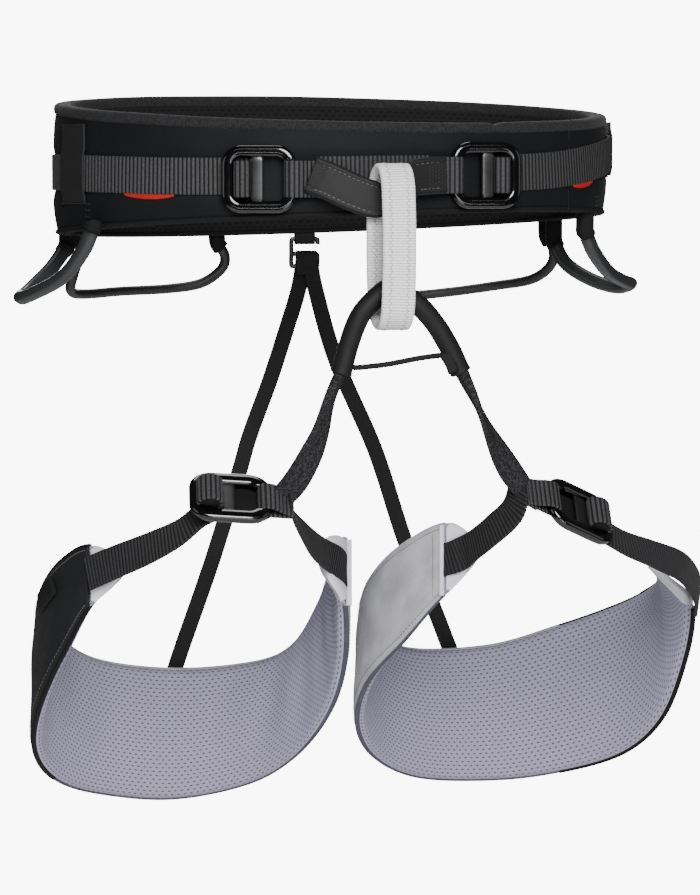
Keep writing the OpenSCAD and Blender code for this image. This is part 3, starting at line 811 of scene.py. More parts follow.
@dataclass
class WaistBelt:
    """The padded belt with its rim, hem, webbing, keepers and wear marks.

    Angles run from 0 at the front, positive to the right, in degrees. A place on the belt is
    ((a + o) sin f, -(b + o) cos f, z), o being the offset out of the belt's outer face, and the
    sides slide a little to the left by the square of sin f.
    """

    looks: Finishes
    half_width: float = 155.0
    half_depth: float = 103.0
    top_front: float = 23.0
    top_back: float = 40.0
    rim_height: float = 6.6
    hem_height: float = 3.2
    web_width: float = 20.0
    web_thick: float = 1.8
    web_pitch: float = 2.4
    slide: float = 2.6
    body: str = Body.BELT.value

    def top(self, f: Array) -> Array:
        """Height of the upper edge: a cosine from front to back and a slight rise to the left."""
        mean, swing = (self.top_front + self.top_back) / 2, (self.top_back - self.top_front) / 2
        return mean - swing * np.cos(np.radians(f)) - 2 * np.sin(np.radians(f))

    def bottom(self, f: Array) -> Array:
        """Height of the lower edge: a cosine from front to back and a slight rise to the right."""
        return -33.5 + 6.5 * np.cos(np.radians(f)) + 4.5 * np.sin(np.radians(f))

    def web_height(self, f: Array) -> Array:
        """Height of the middle of the waist webbing."""
        known = [[-120, -4], [-85, -4], [-60, -5], [-35, -6], [0, -5], [30, -4.2], [47, -2], [70, 4], [85, 7],
                 [120, 9]]
        dense = spline(known, 400)
        return np.interp(f, dense[:, 0], dense[:, 1])

    def at(self, f: Array, o: Array, z: Array) -> Array:
        """Points on the belt from angle, offset and height."""
        turn = np.radians(f)
        slide = self.slide * np.sin(turn) ** 2
        return np.stack(
            np.broadcast_arrays(
                (self.half_width + o) * np.sin(turn) - slide, -(self.half_depth + o) * np.cos(turn), z
            ),
            -1,
        ).astype(float)

    def outward(self, f: float) -> Array:
        """Unit normal of the belt's face at an angle."""
        turn = np.radians(f)
        return unit(np.array([np.sin(turn) / self.half_width, -np.cos(turn) / self.half_depth, 0.0]))

    def run(self, f: Array) -> Array:
        """Distance along the belt's face at each angle, in mm."""
        return arc(self.at(f, 0.0, 0.0))

    def wall(self, name: str, material: bpy.types.Material, outer: Callable, inner: Callable,
             count: int = 360, rows: int = 22) -> bpy.types.Object:
        """A band all round between two faces, each given as an offset for angle and share of height.

        Args:
            name: the piece's name.
            material: the finish.
            outer: offset of the outer face, as a function of angle, share and distance run.
            inner: offset of the inner face, likewise.
            count: rings round the belt.
            rows: points up each face.

        Returns:
            The new object.
        """
        f = np.linspace(0, 360, count, endpoint=False)[:, None]
        low, high = self.bottom(f) + 1.5, self.top(f) - 2.5
        run = self.run(f[:, 0])[:, None]
        share = np.linspace(0, 1, rows)[None]
        faces = []
        for offset, way in ((outer, 1), (inner, -1)):
            s = share[:, ::way]
            faces.append(self.at(f, offset(f, s, run), low + (high - low) * s))
        return skin(name, np.concatenate(faces, 1), material, closed=True)

    def shell(self) -> None:
        """Outer fabric: stands proud between its edges, is pressed in under the webbing, and creases."""

        def face(f: Array, s: Array, run: Array) -> Array:
            """Crown of 2.4 mm, a 1.9 mm channel along the webbing, and creases of 0.4 mm."""
            z = self.bottom(f) + (self.top(f) - self.bottom(f)) * s
            turn = (f + 180) % 360 - 180
            channel = np.exp(-(((z - self.web_height(turn)) / 12) ** 4))
            channel = channel * (1 - smooth_step((np.abs(turn) - 112) / 8))
            crown = 2.4 * (1 - np.abs(2 * s - 1) ** 3)
            crease = 0.4 * ripple(run, z, 42, 3) * (1 - (2 * s - 1) ** 4) * (1 - channel)
            return crown - 0.9 - 1.9 * channel + crease

        piece = self.wall("belt_outer_fabric", self.looks.shell, face, lambda f, s, run: -2.4 + 0 * (f + s))
        place(piece, self.body, "shell_fabric", "belt_shell")

    def lining(self) -> None:
        """Spacer mesh over foam on the inside: crowned 1.6 mm towards the wearer, with soft dents."""

        def face(f: Array, s: Array, run: Array) -> Array:
            """Inner offset: crown inwards between the edges and slow dents."""
            crown = 1.6 * (1 - np.abs(2 * s - 1) ** 4)
            return -7.4 - crown + 0.4 * ripple(run, 70 * s, 55, 5) * (1 - (2 * s - 1) ** 4)

        piece = self.wall("belt_inner_mesh", self.looks.belt_mesh, lambda f, s, run: -2.6 + 0 * (f + s), face)
        place(piece, self.body, "spacer_mesh", "belt_lining")

    def edges(self) -> None:
        """Rim and hem: rounded bindings carried round the belt, the rim with a fold near the front."""
        f = np.linspace(0, 360, 480, endpoint=False)
        turn = (f + 180) % 360 - 180
        run = self.run(f)
        fold = bump(turn, 27.5, 1.3)
        wander = 0.35 * ripple(run, 0 * run, 60, 11)
        high = self.top(f) - self.rim_height / 2 - 0.9 * fold
        rim = Path.through(self.at(f, -3.9 + 0.3 * wander, high + 0.3 * wander), UP, closed=True)
        section = round_section(self.rim_height, 9.4, 24, 3.0)[None] * (1 - 0.16 * fold[:, None, None])
        piece = skin("belt_rim_binding", rim.carry(section), self.looks.binding, closed=True)
        place(piece, self.body, "binding", "belt_rim")
        low = Path.through(self.at(f, -4.0, self.bottom(f) + self.hem_height / 2), UP, closed=True)
        section = round_section(self.hem_height, 8.6, 20, 3.0)
        piece = skin("belt_hem_binding", low.carry(section), self.looks.hem, closed=True)
        place(piece, self.body, "binding", "belt_hem")

    def band(self, f0: float, f1: float, offset: Callable, lift: float = 0.0, step: float = 0.4) -> Path:
        """Path of a strap along the belt at the webbing's height.

        Args:
            f0: first angle.
            f1: last angle.
            offset: offset out of the face, as a function of the angle.
            lift: height above the webbing's middle, in mm.
            step: distance between samples in mm.
        """
        f = np.linspace(f0, f1, 500)
        chain = self.at(f, offset(f), self.web_height(f) + lift)
        return Path.through(evened(chain, int(arc(chain)[-1] / step)), UP)

    def webbing(self) -> None:
        """Three runs of ribbed webbing; the outer ends dive into slots in the shell."""
        step = self.web_pitch / STEPS_PER_RIB

        def left(f: Array) -> Array:
            """Flat on the shell, sinking into its slot behind the left side."""
            return 0.9 - 3.6 * smooth_step((-f - 112) / 6) + 0.2 * np.sin(f / 9)

        def right(f: Array) -> Array:
            """Standing off where the keeper holds the tail, then sinking into its slot."""
            return 0.9 + 1.6 * bump(f, 84, 16) - 3.6 * smooth_step((f - 112) / 6)

        runs = {
            "left_waist_webbing": (self.band(-118, -23, left, step=step), "left_webbing_run"),
            "centre_webbing": (
                self.band(-10.5, 11.5, lambda f: 1.1 + 0 * f, step=step), "centre_webbing_run"
            ),
            "right_waist_webbing": (self.band(24, 118, right, step=step), "right_webbing_run"),
        }
        for node, (path, name) in runs.items():
            rings = webbing_rings(path, self.web_width, self.web_thick, self.web_pitch)
            place(skin(name, rings, self.looks.webbing), self.body, "webbing", node)

    def keepers(self) -> None:
        """Elastic keepers: flat bands that rise over the webbing, with a stitched slot at the foot."""
        spots = {Side.LEFT: (-72.5, -15.6, 26.6, 22.0), Side.RIGHT: (88.0, -13.0, 17.0, 16.0)}
        for side, (f, low, high, width) in spots.items():
            mid = float(self.web_height(np.array(f)))
            z = np.linspace(low, high, 60) + mid
            rise = 1.0 * (1 - smooth_step((np.abs(z - mid) - 8) / 6)) + (1.4 if side is Side.RIGHT else 0.0)
            chain = self.at(np.full(60, f), 1.5 + rise, z)
            run = unit(self.at(np.array(f + 1.0), 0.0, 0.0) - self.at(np.array(f), 0.0, 0.0))
            path = Path.through(chain, run)
            section = flat_section(width, 1.3, 12)
            piece = skin(f"{side.value}_keeper_band", path.carry(section), self.looks.keeper)
            place(piece, self.body, "elastic", f"{side.value}_keeper")
            foot = self.at(np.array(f), 1.5, low + mid - 0.6)
            tack = bar_tack(
                f"{side.value}_keeper_stitching", foot, UP, run, self.outward(f), (0.8, width + 1),
                self.looks.black_thread, 1,
            )
            place(tack, self.body, "elastic")

    def wear_marks(self) -> None:
        """Red tape that shows as a narrow lens under the webbing's lower edge."""
        for side, f0, f1 in ((Side.LEFT, -54, -41), (Side.RIGHT, 51, 61)):
            path = self.band(f0, f1, lambda f: 0.9 + 0 * f, -self.web_width / 2 - 0.2, 0.8)
            swell = np.sin(np.linspace(0.12, np.pi - 0.12, len(path.centre))) ** 0.6
            section = flat_section(5.0, 0.9, 6)[None] * np.stack([swell, np.ones_like(swell)], -1)[:, None]
            piece = skin(f"{side.value}_wear_tape", path.carry(section), self.looks.red)
            place(piece, self.body, "wear_mark", f"{side.value}_wear_mark")

    def seams(self) -> None:
        """Bar tacks over the gear loops' sewn ends and the seam line on the right side of the shell."""
        for name, f, z, size in (
            ("left_gear_tack", -66.5, -24.5, (7.0, 4.0)),
            ("right_gear_tack", 64.0, -20.0, (5.0, 3.5)),
        ):
            run = unit(self.at(np.array(f + 1.0), 0.0, 0.0) - self.at(np.array(f), 0.0, 0.0))
            spot = self.at(np.array(f), 1.1, z)
            piece = bar_tack(name, spot, UP, run, self.outward(f), size, self.looks.black_thread, 3)
            place(piece, self.body, "shell_fabric")
        z = np.concatenate([np.arange(-24, -13, 1.6), np.arange(9, 22, 1.6)])
        spots = self.at(np.full(len(z), 49.0), 1.0, z)
        ups = np.broadcast_to(self.outward(49.0), spots.shape)
        along = np.broadcast_to(UP, spots.shape)
        piece = threads("shell_seam_stitches", spots, along, ups, 1.3, 0.4, self.looks.black_thread)
        place(piece, self.body, "shell_fabric")

    def build(self) -> None:
        """Builds the whole belt."""
        self.shell()
        self.lining()
        self.edges()
        self.webbing()
        self.keepers()
        self.wear_marks()
        self.seams()


# ---- Buckles ---------------------------------------------------------------------------


def turned(angles: Sequence[float]) -> Array:
    """Rotation matrix of turns about X, then Y, then Z, in degrees."""
    x, y, z = np.radians(angles)
    about_x = np.array([[1, 0, 0], [0, np.cos(x), -np.sin(x)], [0, np.sin(x), np.cos(x)]])
    about_y = np.array([[np.cos(y), 0, np.sin(y)], [0, 1, 0], [-np.sin(y), 0, np.cos(y)]])
    about_z = np.array([[np.cos(z), -np.sin(z), 0], [np.sin(z), np.cos(z), 0], [0, 0, 1]])
    return about_z @ about_y @ about_x


@dataclass
class Buckle:
    """A two-piece webbing buckle in its own frame: X to the sewn end, -Y outwards, Z across.

    A flipped buckle is mirrored in X, so its sewn end points the other way.
    """

    name: str
    looks: Finishes
    body: str
    sewn_body: str
    spot: Array
    turn: tuple[float, float, float]
    flip: bool = False
    size: tuple[float, float, float] = (1.0, 1.0, 1.0)
    length: float = 40.0
    height: float = 36.0
    limb: float = 6.4
    thick: float = 5.0
    roll: tuple[float, float] = (3.6, 2.5)
    roll_at: tuple[float, float] = (-9.0, -0.7)
    tail: float = 14.0
    backed: bool = False
    nodes: dict[str, str] = field(default_factory=dict)

    def world(self, local: Array) -> Array:
        """Turns and moves points from the buckle's own frame to the harness's."""
        flipped = local * np.array([-1.0 if self.flip else 1.0, 1, 1]) * np.array(self.size)
        return flipped @ turned(self.turn).T + self.spot

    def heading(self, local: Sequence[float]) -> Array:
        """Turns a direction to the harness's frame."""
        return unit(self.world(np.array(local, float)) - self.world(np.zeros(3)))

    @property
    def sewn_x(self) -> float:
        """Where the webbing's sewn end goes round the frame."""
        return self.length / 2 - 2.5

    def frame(self) -> None:
        """Forged ring: a rounded rectangle whose limb narrows to a round bar at the sewn end.

        The outline is a superellipse-cornered rectangle: straight runs joined by quarter circles.
        """
        half_l, half_h, corner = (self.length - self.limb) / 2, (self.height - self.limb) / 2, 7.5
        quarter = np.linspace(0, np.pi / 2, 13)
        outline = []
        for k, (sx, sz) in enumerate(((1, 1), (-1, 1), (-1, -1), (1, -1))):
            turn = quarter + k * np.pi / 2
            x = sx * (half_l - corner) + corner * np.cos(turn)
            z = sz * (half_h - corner) + corner * np.sin(turn)
            outline.append(np.stack([x, 0 * turn, z], -1))
        chain = evened(np.vstack(outline + [outline[0][:1]]), 160, closed=True)
        path = Path.through(chain, np.array([0.0, 1.0, 0.0]), closed=True)
        bar = smooth_step((chain[:, 0] - 12.5) / 3.0) * (1 - smooth_step((np.abs(chain[:, 2]) - 8.5) / 3.0))
        chain[:, 0] += bar * (self.sewn_x - half_l)
        path.centre = chain
        narrow = (1 - bar * [[0.06], [0.32]]).T[:, None]
        rings = self.world(path.carry(round_section(self.thick, self.limb, 24, 2.6)[None] * narrow))
        piece = skin(f"{self.name}_forged_frame", rings, self.looks.buckle, closed=True)
        place(piece, self.body, "buckle_metal", self.nodes["frame"])

    def bar(self) -> None:
        """Adjuster bar: a flat strip across the window, narrower where it enters the frame."""
        z = np.linspace(-self.height / 2 + 3.4, self.height / 2 - 3.4, 40)
        neck = 1 - 0.2 * smooth_step((np.abs(z) - 10.5) / 1.2)
        path = Path.through(np.stack([0 * z - 1, 0 * z + 0.3, z], -1), np.array([1.0, 0.0, 0.0]))
        section = round_section(7.0, 2.8, 20, 3.4)[None] * neck[:, None, None]
        piece = skin(f"{self.name}_adjuster_bar", self.world(path.carry(section)), self.looks.bar)
        place(piece, self.body, "bar_metal", self.nodes["bar"])

    def webbing_turn(self) -> None:
        """Webbing wrapped round the bar: a strap carried round an oval, with a plain core inside it."""
        turn = np.linspace(0, 2 * np.pi, 120, endpoint=False)
        x, y = self.roll_at
        oval = np.stack([x + self.roll[0] * np.cos(turn), y + self.roll[1] * np.sin(turn), 0 * turn], -1)
        path = Path.through(oval, UP, closed=True)
        rings = webbing_rings(path, 19.4, 1.6, path.length()[-1] / round(path.length()[-1] / 2.3))
        piece = skin(f"{self.name}_webbing_wrap", self.world(rings), self.looks.webbing, closed=True)
        place(piece, self.body, "webbing", self.nodes["turn"])
        half = 9.2
        line = np.array([[x, y, z] for z in np.linspace(-half, half, 12)])
        middle = Path.through(line, np.array([1.0, 0.0, 0.0]))
        core = middle.carry(round_section(2 * self.roll[0] - 1.0, 2 * self.roll[1] - 1.0, 20))
        place(skin(f"{self.name}_wrap_core", self.world(core), self.looks.hem), self.body, "webbing")

    def sewn_end(self) -> None:
        """Webbing end: out along the face, round the end bar in a half circle, and back to the tack."""
        bar, r, far = self.sewn_x, 3.55, self.sewn_x + self.tail
        half = np.radians(np.linspace(-90, -270, 9))
        wrap = np.stack([bar + r * np.cos(half), r * np.sin(half)], -1)
        outer = [[far, 2.3], [bar + 8.5, 0.2], [bar + 4, -2.7]]
        inner = [[bar + 5, 3.55], [far - 4, 3.6], [far, 3.6]]
        route = np.vstack([outer, wrap, inner])
        points = np.stack([route[:, 0], route[:, 1], 0 * route[:, 0]], -1)
        path = Path.route(points, [0.0, 0.0, 1.0], 0.38)
        rings = webbing_rings(path, 19.6, 1.4, 2.3)
        piece = skin(f"{self.name}_sewn_webbing", self.world(rings), self.looks.webbing)
        place(piece, self.sewn_body, "webbing", self.nodes["sewn"])
        spot = self.world(np.array([far - 3.0, 0.9, 0.0]))
        tack = bar_tack(
            f"{self.name}_bar_tack", spot, self.heading([1, 0, 0]), self.heading([0, 0, 1]),
            self.heading([0, -1, 0]),
            (4.0, 17.0), self.looks.black_thread, 4,
        )
        place(tack, self.sewn_body, "webbing")

    def backing(self) -> None:
        """Webbing that passes behind the window on its way to the bar."""
        x = np.linspace(-13.0, 15.0, 40)
        path = Path.through(np.stack([x, 0 * x + 4.0, 0 * x + 4.5], -1), UP)
        section = flat_section(23.0, 1.0, 8)
        piece = skin(f"{self.name}_webbing_behind", self.world(path.carry(section)), self.looks.hem)
        place(piece, self.body, "webbing")

    def build(self) -> None:
        """Builds the buckle and the webbing in it."""
        self.frame()
        if self.backed:
            self.backing()
        self.bar()
        self.webbing_turn()
        self.sewn_end()


def buckles(belt: WaistBelt, looks: Finishes) -> list[Buckle]:
    """The four buckles, the waist ones laid on the belt's face and the leg ones on the thighs."""
    made = []
    for side, f, offset, z in ((Side.LEFT, -22.4, 5.2, -7.5), (Side.RIGHT, 22.6, 6.4, -5.5)):
        name = side.value
        body = Body.LEFT_WAIST_BUCKLE if side is Side.LEFT else Body.RIGHT_WAIST_BUCKLE
        lift = np.array([belt.slide * np.sin(np.radians(f)) ** 2, 0.0, 0.0])
        yaw = np.degrees(np.arcsin(belt.outward(f)[0])) if side is Side.LEFT else 7.0
        made.append(
            Buckle(
                f"{name}_waist", looks, body.value, Body.BELT.value,
                belt.at(np.array(f), offset, z) + lift, (0, 0, yaw),
                flip=side is Side.RIGHT,
                nodes={"frame": f"{name}_buckle_frame", "bar": f"{name}_buckle_bar",
                       "turn": f"{name}_buckle_turn",
                       "sewn": f"{name}_sewn_loop"},
            )
        )
    spots = {
        Side.LEFT: ((-78.6, -110.8, -175.8), (-50, 4, -4)),
        Side.RIGHT: ((113.3, -106.2, -187.0), (-42, 24, 18)),
    }
    for side, (spot, turn) in spots.items():
        name = side.value
        body = Body.LEFT_LEG_BUCKLE if side is Side.LEFT else Body.RIGHT_LEG_BUCKLE
        made.append(
            Buckle(
                f"{name}_leg", looks, body.value, Body.LEGS.value, np.array(spot, float), turn,
                flip=side is Side.RIGHT, size=(1.1, 0.95, 0.95), limb=8.0, roll=(5.6, 5.0),
                roll_at=(-10.2, -3.4), tail=13.0,
                thick=6.2, backed=True,
                nodes={"frame": f"{name}_leg_buckle_frame", "bar": f"{name}_leg_buckle_bar",
                       "turn": f"{name}_leg_buckle_turn", "sewn": f"{name}_leg_sewn_loop"},
            )
        )
    return made


# ---- Tie-in loop and belay loop --------------------------------------------------------


@dataclass
class TieInLoop:
    """Sleeved webbing loop between the waist buckles, stitched along both edges."""

    looks: Finishes
    width: float = 20.0
    thick: float = 3.2

    def path(self) -> Path:
        """From beside the left buckle, down to the belay loop, and up to the right buckle."""
        points = [[-35, -110, -5], [-25, -112.6, -9], [-12, -115.4, -15], [1, -116.8, -19], [8, -117, -17],
                  [14, -116.2, -11.5], [20, -114.4, -7.2], [28, -112.2, -5.8], [38, -109.6, -5.4]]
        ups = [[0, 0, 1], [0.35, 0, 1], [0.35, 0, 1], [0.1, 0, 1], [-0.3, 0, 1], [-0.45, 0, 1], [-0.15, 0, 1],
               [0, 0, 1], [0, 0, 1]]
        return Path.route(points, ups, 0.9)

    def build(self) -> None:
        """Sleeve bunched inside the belay loop, with raised edges and stitches along them.

        The width shrinks by 35% in a bell 7 mm wide, and the edges stand 20% proud.
        """
        path = self.path()
        bunch = 1 - 0.35 * bump(path.centre[:, 0], 9.0, 7.0)
        section = flat_section(self.width, self.thick, 18)
        edge = 1 + 0.2 * bump(np.abs(section[:, 0]), 8.3, 1.2) - 0.12 * bump(np.abs(section[:, 0]), 6.6, 0.7)
        section = section * np.stack([np.ones_like(edge), edge], -1)
        rings = path.carry(section[None] * np.stack([bunch, 1 / bunch**0.5], -1)[:, None])
        piece = skin("tie_in_sleeve_skin", rings, self.looks.sleeve)
        place(piece, Body.BELT.value, "tie_in_sleeve", "tie_in_loop")
        run = unit(np.gradient(path.centre, axis=0))
        front = np.where(path.out[:, 1:2] < 0, 1.0, -1.0) * path.out
        keep = np.arange(6, len(run) - 6, 3)
        keep = keep[bunch[keep] > 0.97]
        face = path.centre + front * self.thick * 0.47
        spots = np.vstack([(face + path.across * row)[keep] for row in (-6.8, 6.8)])
        piece = threads(
            "tie_in_edge_stitches", spots, np.tile(run[keep], (2, 1)), np.tile(front[keep], (2, 1)),
            1.9, 0.45,
            self.looks.grey_thread,
        )
        place(piece, Body.BELT.value, "tie_in_sleeve")
        for name, index, rows in (("tie_in_left_tack", 4, 4), ("tie_in_right_tack", -7, 6)):
            spot = path.centre[index] + front[index] * self.thick * 0.5
            tack = bar_tack(
                name, spot, run[index], path.across[index], front[index], (rows * 1.5, 16.0),
                self.looks.black_thread,
                rows,
            )
            place(tack, Body.BELT.value, "tie_in_sleeve")


@dataclass
class BelayLoop:
    """White webbing ring in the plane X = x, with cross ribs and two zigzag rows of stitches."""

    looks: Finishes
    x: float = 7.0
    y: float = -120.3
    top: float = 0.8
    length: float = 88.0
    radius: float = 12.5
    width: float = 18.0
    thick: float = 3.3
    pitch: float = 1.45

    def path(self) -> tuple[Path, float]:
        """Closed outline of two straight runs and two half circles, and the distance between ribs.

        The front run bows out 1.6 mm, and the back run is drawn 2.6 mm to the left.
        """
        r, low, high = self.radius, self.top - self.length + self.thick / 2, self.top - self.thick / 2
        turn = np.linspace(0, np.pi, 60)
        upper = np.stack([r * np.cos(turn), high - r + r * np.sin(turn)], -1)
        lower = np.stack([-r * np.cos(turn), low + r - r * np.sin(turn)], -1)
        outline = np.vstack([upper, lower, upper[:1]])
        length = arc(outline)[-1]
        ribs = round(length / self.pitch)
        y, z = evened(outline, ribs * STEPS_PER_RIB, closed=True).T
        middle = (low + high) / 2
        bow = np.clip(1 - ((z - middle) / ((high - low) / 2)) ** 2, 0, 1)
        y = y - 1.6 * bow * (y < 0)
        x = self.x + 0.8 * (y < 0) * bow - 2.6 * (y > 0) * bow**0.5
        ring = Path.through(np.stack([x, self.y + y, z], -1), np.array([1.0, 0.0, 0.0]), closed=True)
        return ring, length / ribs

    def build(self) -> None:
        """Ring with ribs, and stitches that zigzag along both edges of both faces."""
        path, pitch = self.path()
        rings = webbing_rings(path, self.width, self.thick, pitch, depth=0.07)
        ring = skin("belay_webbing_ring", rings, self.looks.belay, closed=True)
        place(ring, Body.BELAY.value, "belay_webbing", "belay_loop")
        run = unit(np.roll(path.centre, -1, 0) - np.roll(path.centre, 1, 0))
        middle = np.array([self.x, self.y, self.top - self.length / 2])
        faces_out = np.sum((path.centre - middle) * path.out, -1, keepdims=True) > 0
        outside = np.where(faces_out, 1.0, -1.0) * path.out
        step = 7
        pick = np.arange(0, len(run), step)
        lean = np.where(np.arange(len(pick)) % 2 == 0, 1.0, -1.0)[:, None]
        spots, headings, ups = [], [], []
        for row in (-4.6, 4.6):
            for face in (1, -1):
                lift = face * outside[pick] * self.thick * 0.52
                spots.append(path.centre[pick] + path.across[pick] * row + lift)
                headings.append(unit(run[pick] + path.across[pick] * lean * 1.1))
                ups.append(face * outside[pick])
        piece = threads(
            "belay_zigzag_stitches", np.vstack(spots), np.vstack(headings), np.vstack(ups), 2.9, 0.55,
            self.looks.white_thread,
        )
        place(piece, Body.BELAY.value, "belay_webbing")


# ---- Gear loops ------------------------------------------------------------------------


@dataclass
class GearLoop:
    """Moulded rod on a spline route, with a fabric sleeve round each of its ends.

    A sleeve's two numbers are how far down the rod it reaches and how far it rises above the end.
    """

    name: str
    points: Points
    width: float
    thick: float
    material: bpy.types.Material
    sleeve_material: bpy.types.Material
    first_sleeve: tuple[float, float] = (8.0, 12.5)
    last_sleeve: tuple[float, float] = (8.0, 12.5)
    buried: float = 2.5

    @property
    def spread(self) -> Array:
        """Unit direction from the first end to the last."""
        return unit(np.array(self.points[-1], float) - np.array(self.points[0], float))

    def build(self) -> None:
        """Rod of oval section; each end runs a little further up into the hem."""
        ends = [[0, 0, self.buried]]
        route = np.vstack([np.add(self.points[0], ends), self.points, np.add(self.points[-1], ends)])
        chain = evened(spline(route, 400), 160)
        plane = unit(np.cross(self.spread, chain[len(chain) // 2] - chain[0]))
        path = Path.through(chain, plane)
        swell = 1 + 0.05 * np.cos(2 * np.pi * np.linspace(0, 1, len(chain)))
        rings = path.carry(round_section(self.width, self.thick, 20, 2.3)[None] * swell[:, None, None])
        place(skin(f"{self.name}_rod", rings, self.material), self.name, "gear_loop_plastic", self.name)
        self.sleeve("first", chain, *self.first_sleeve)
        self.sleeve("last", chain[::-1], *self.last_sleeve)

    def sleeve(self, end: str, chain: Array, reach: float, rise: float) -> None:
        """Fabric sleeve round one end of the rod, from inside the hem to a little way down the rod.

        Args:
            end: which end, for the piece's name.
            chain: the rod's middle line, starting at that end.
            reach: how far down the rod it goes, in mm.
            rise: how far above the rod's end it starts, in mm.
        """
        near = chain[arc(chain) < reach]
        route = [near[0] + [0, 0, rise], near[0], near[len(near) // 2], near[-1]]
        path = Path.route(route, self.spread, 1.0)
        section = round_section(self.width + 4.0, self.thick + 2.2, 20, 3.0)
        piece = skin(f"{self.name}_{end}_sleeve", path.carry(section), self.sleeve_material)
        place(piece, Body.BELT.value, "binding")


def gear_loops(looks: Finishes) -> list[GearLoop]:
    """The four gear loops: two thick curved ones in front, two flatter ones behind."""
    front_left = [[-144, -50, -34], [-148, -44, -46], [-158, -30, -61], [-173, -10, -71], [-178, 0, -73],
                  [-173, 10, -70], [-160, 20, -59], [-152, 28, -50], [-148, 32, -44.2]]
    front_right = [[133, -40, -36], [140, -32, -48], [153, -16, -60], [167, 2, -66], [174, 12, -68],
                   [168, 22, -70], [156, 32, -66], [144, 44, -57], [138, 50, -44]]
    rear_left = [[-53, 97, -44.8], [-48, 99, -53], [-50, 101, -61], [-62, 101, -69], [-82, 99, -72],
                 [-110, 91, -73], [-133, 77, -74], [-142, 67, -72], [-142, 61, -64], [-135.5, 58, -44]]
    rear_right = [[136, 60, -41], [141, 62, -50], [140, 66, -59], [131, 75, -67], [112, 86, -71],
                  [85, 95, -75], [62, 100, -77], [50, 102, -75], [47, 102, -66], [52, 98, -44]]
    return [
        GearLoop("front_left_gear_loop", front_left, 8.0, 7.4, looks.gear, looks.hem, (4.0, 1.5)),
        GearLoop("front_right_gear_loop", front_right, 8.0, 7.4, looks.gear, looks.hem, (6.0, 9.0)),
        GearLoop("rear_left_gear_loop", rear_left, 5.2, 5.8, looks.rear_gear, looks.hem),
        GearLoop("rear_right_gear_loop", rear_right, 5.2, 5.8, looks.rear_gear, looks.hem),
    ]


# ---- Leg bridge ------------------------------------------------------------------------


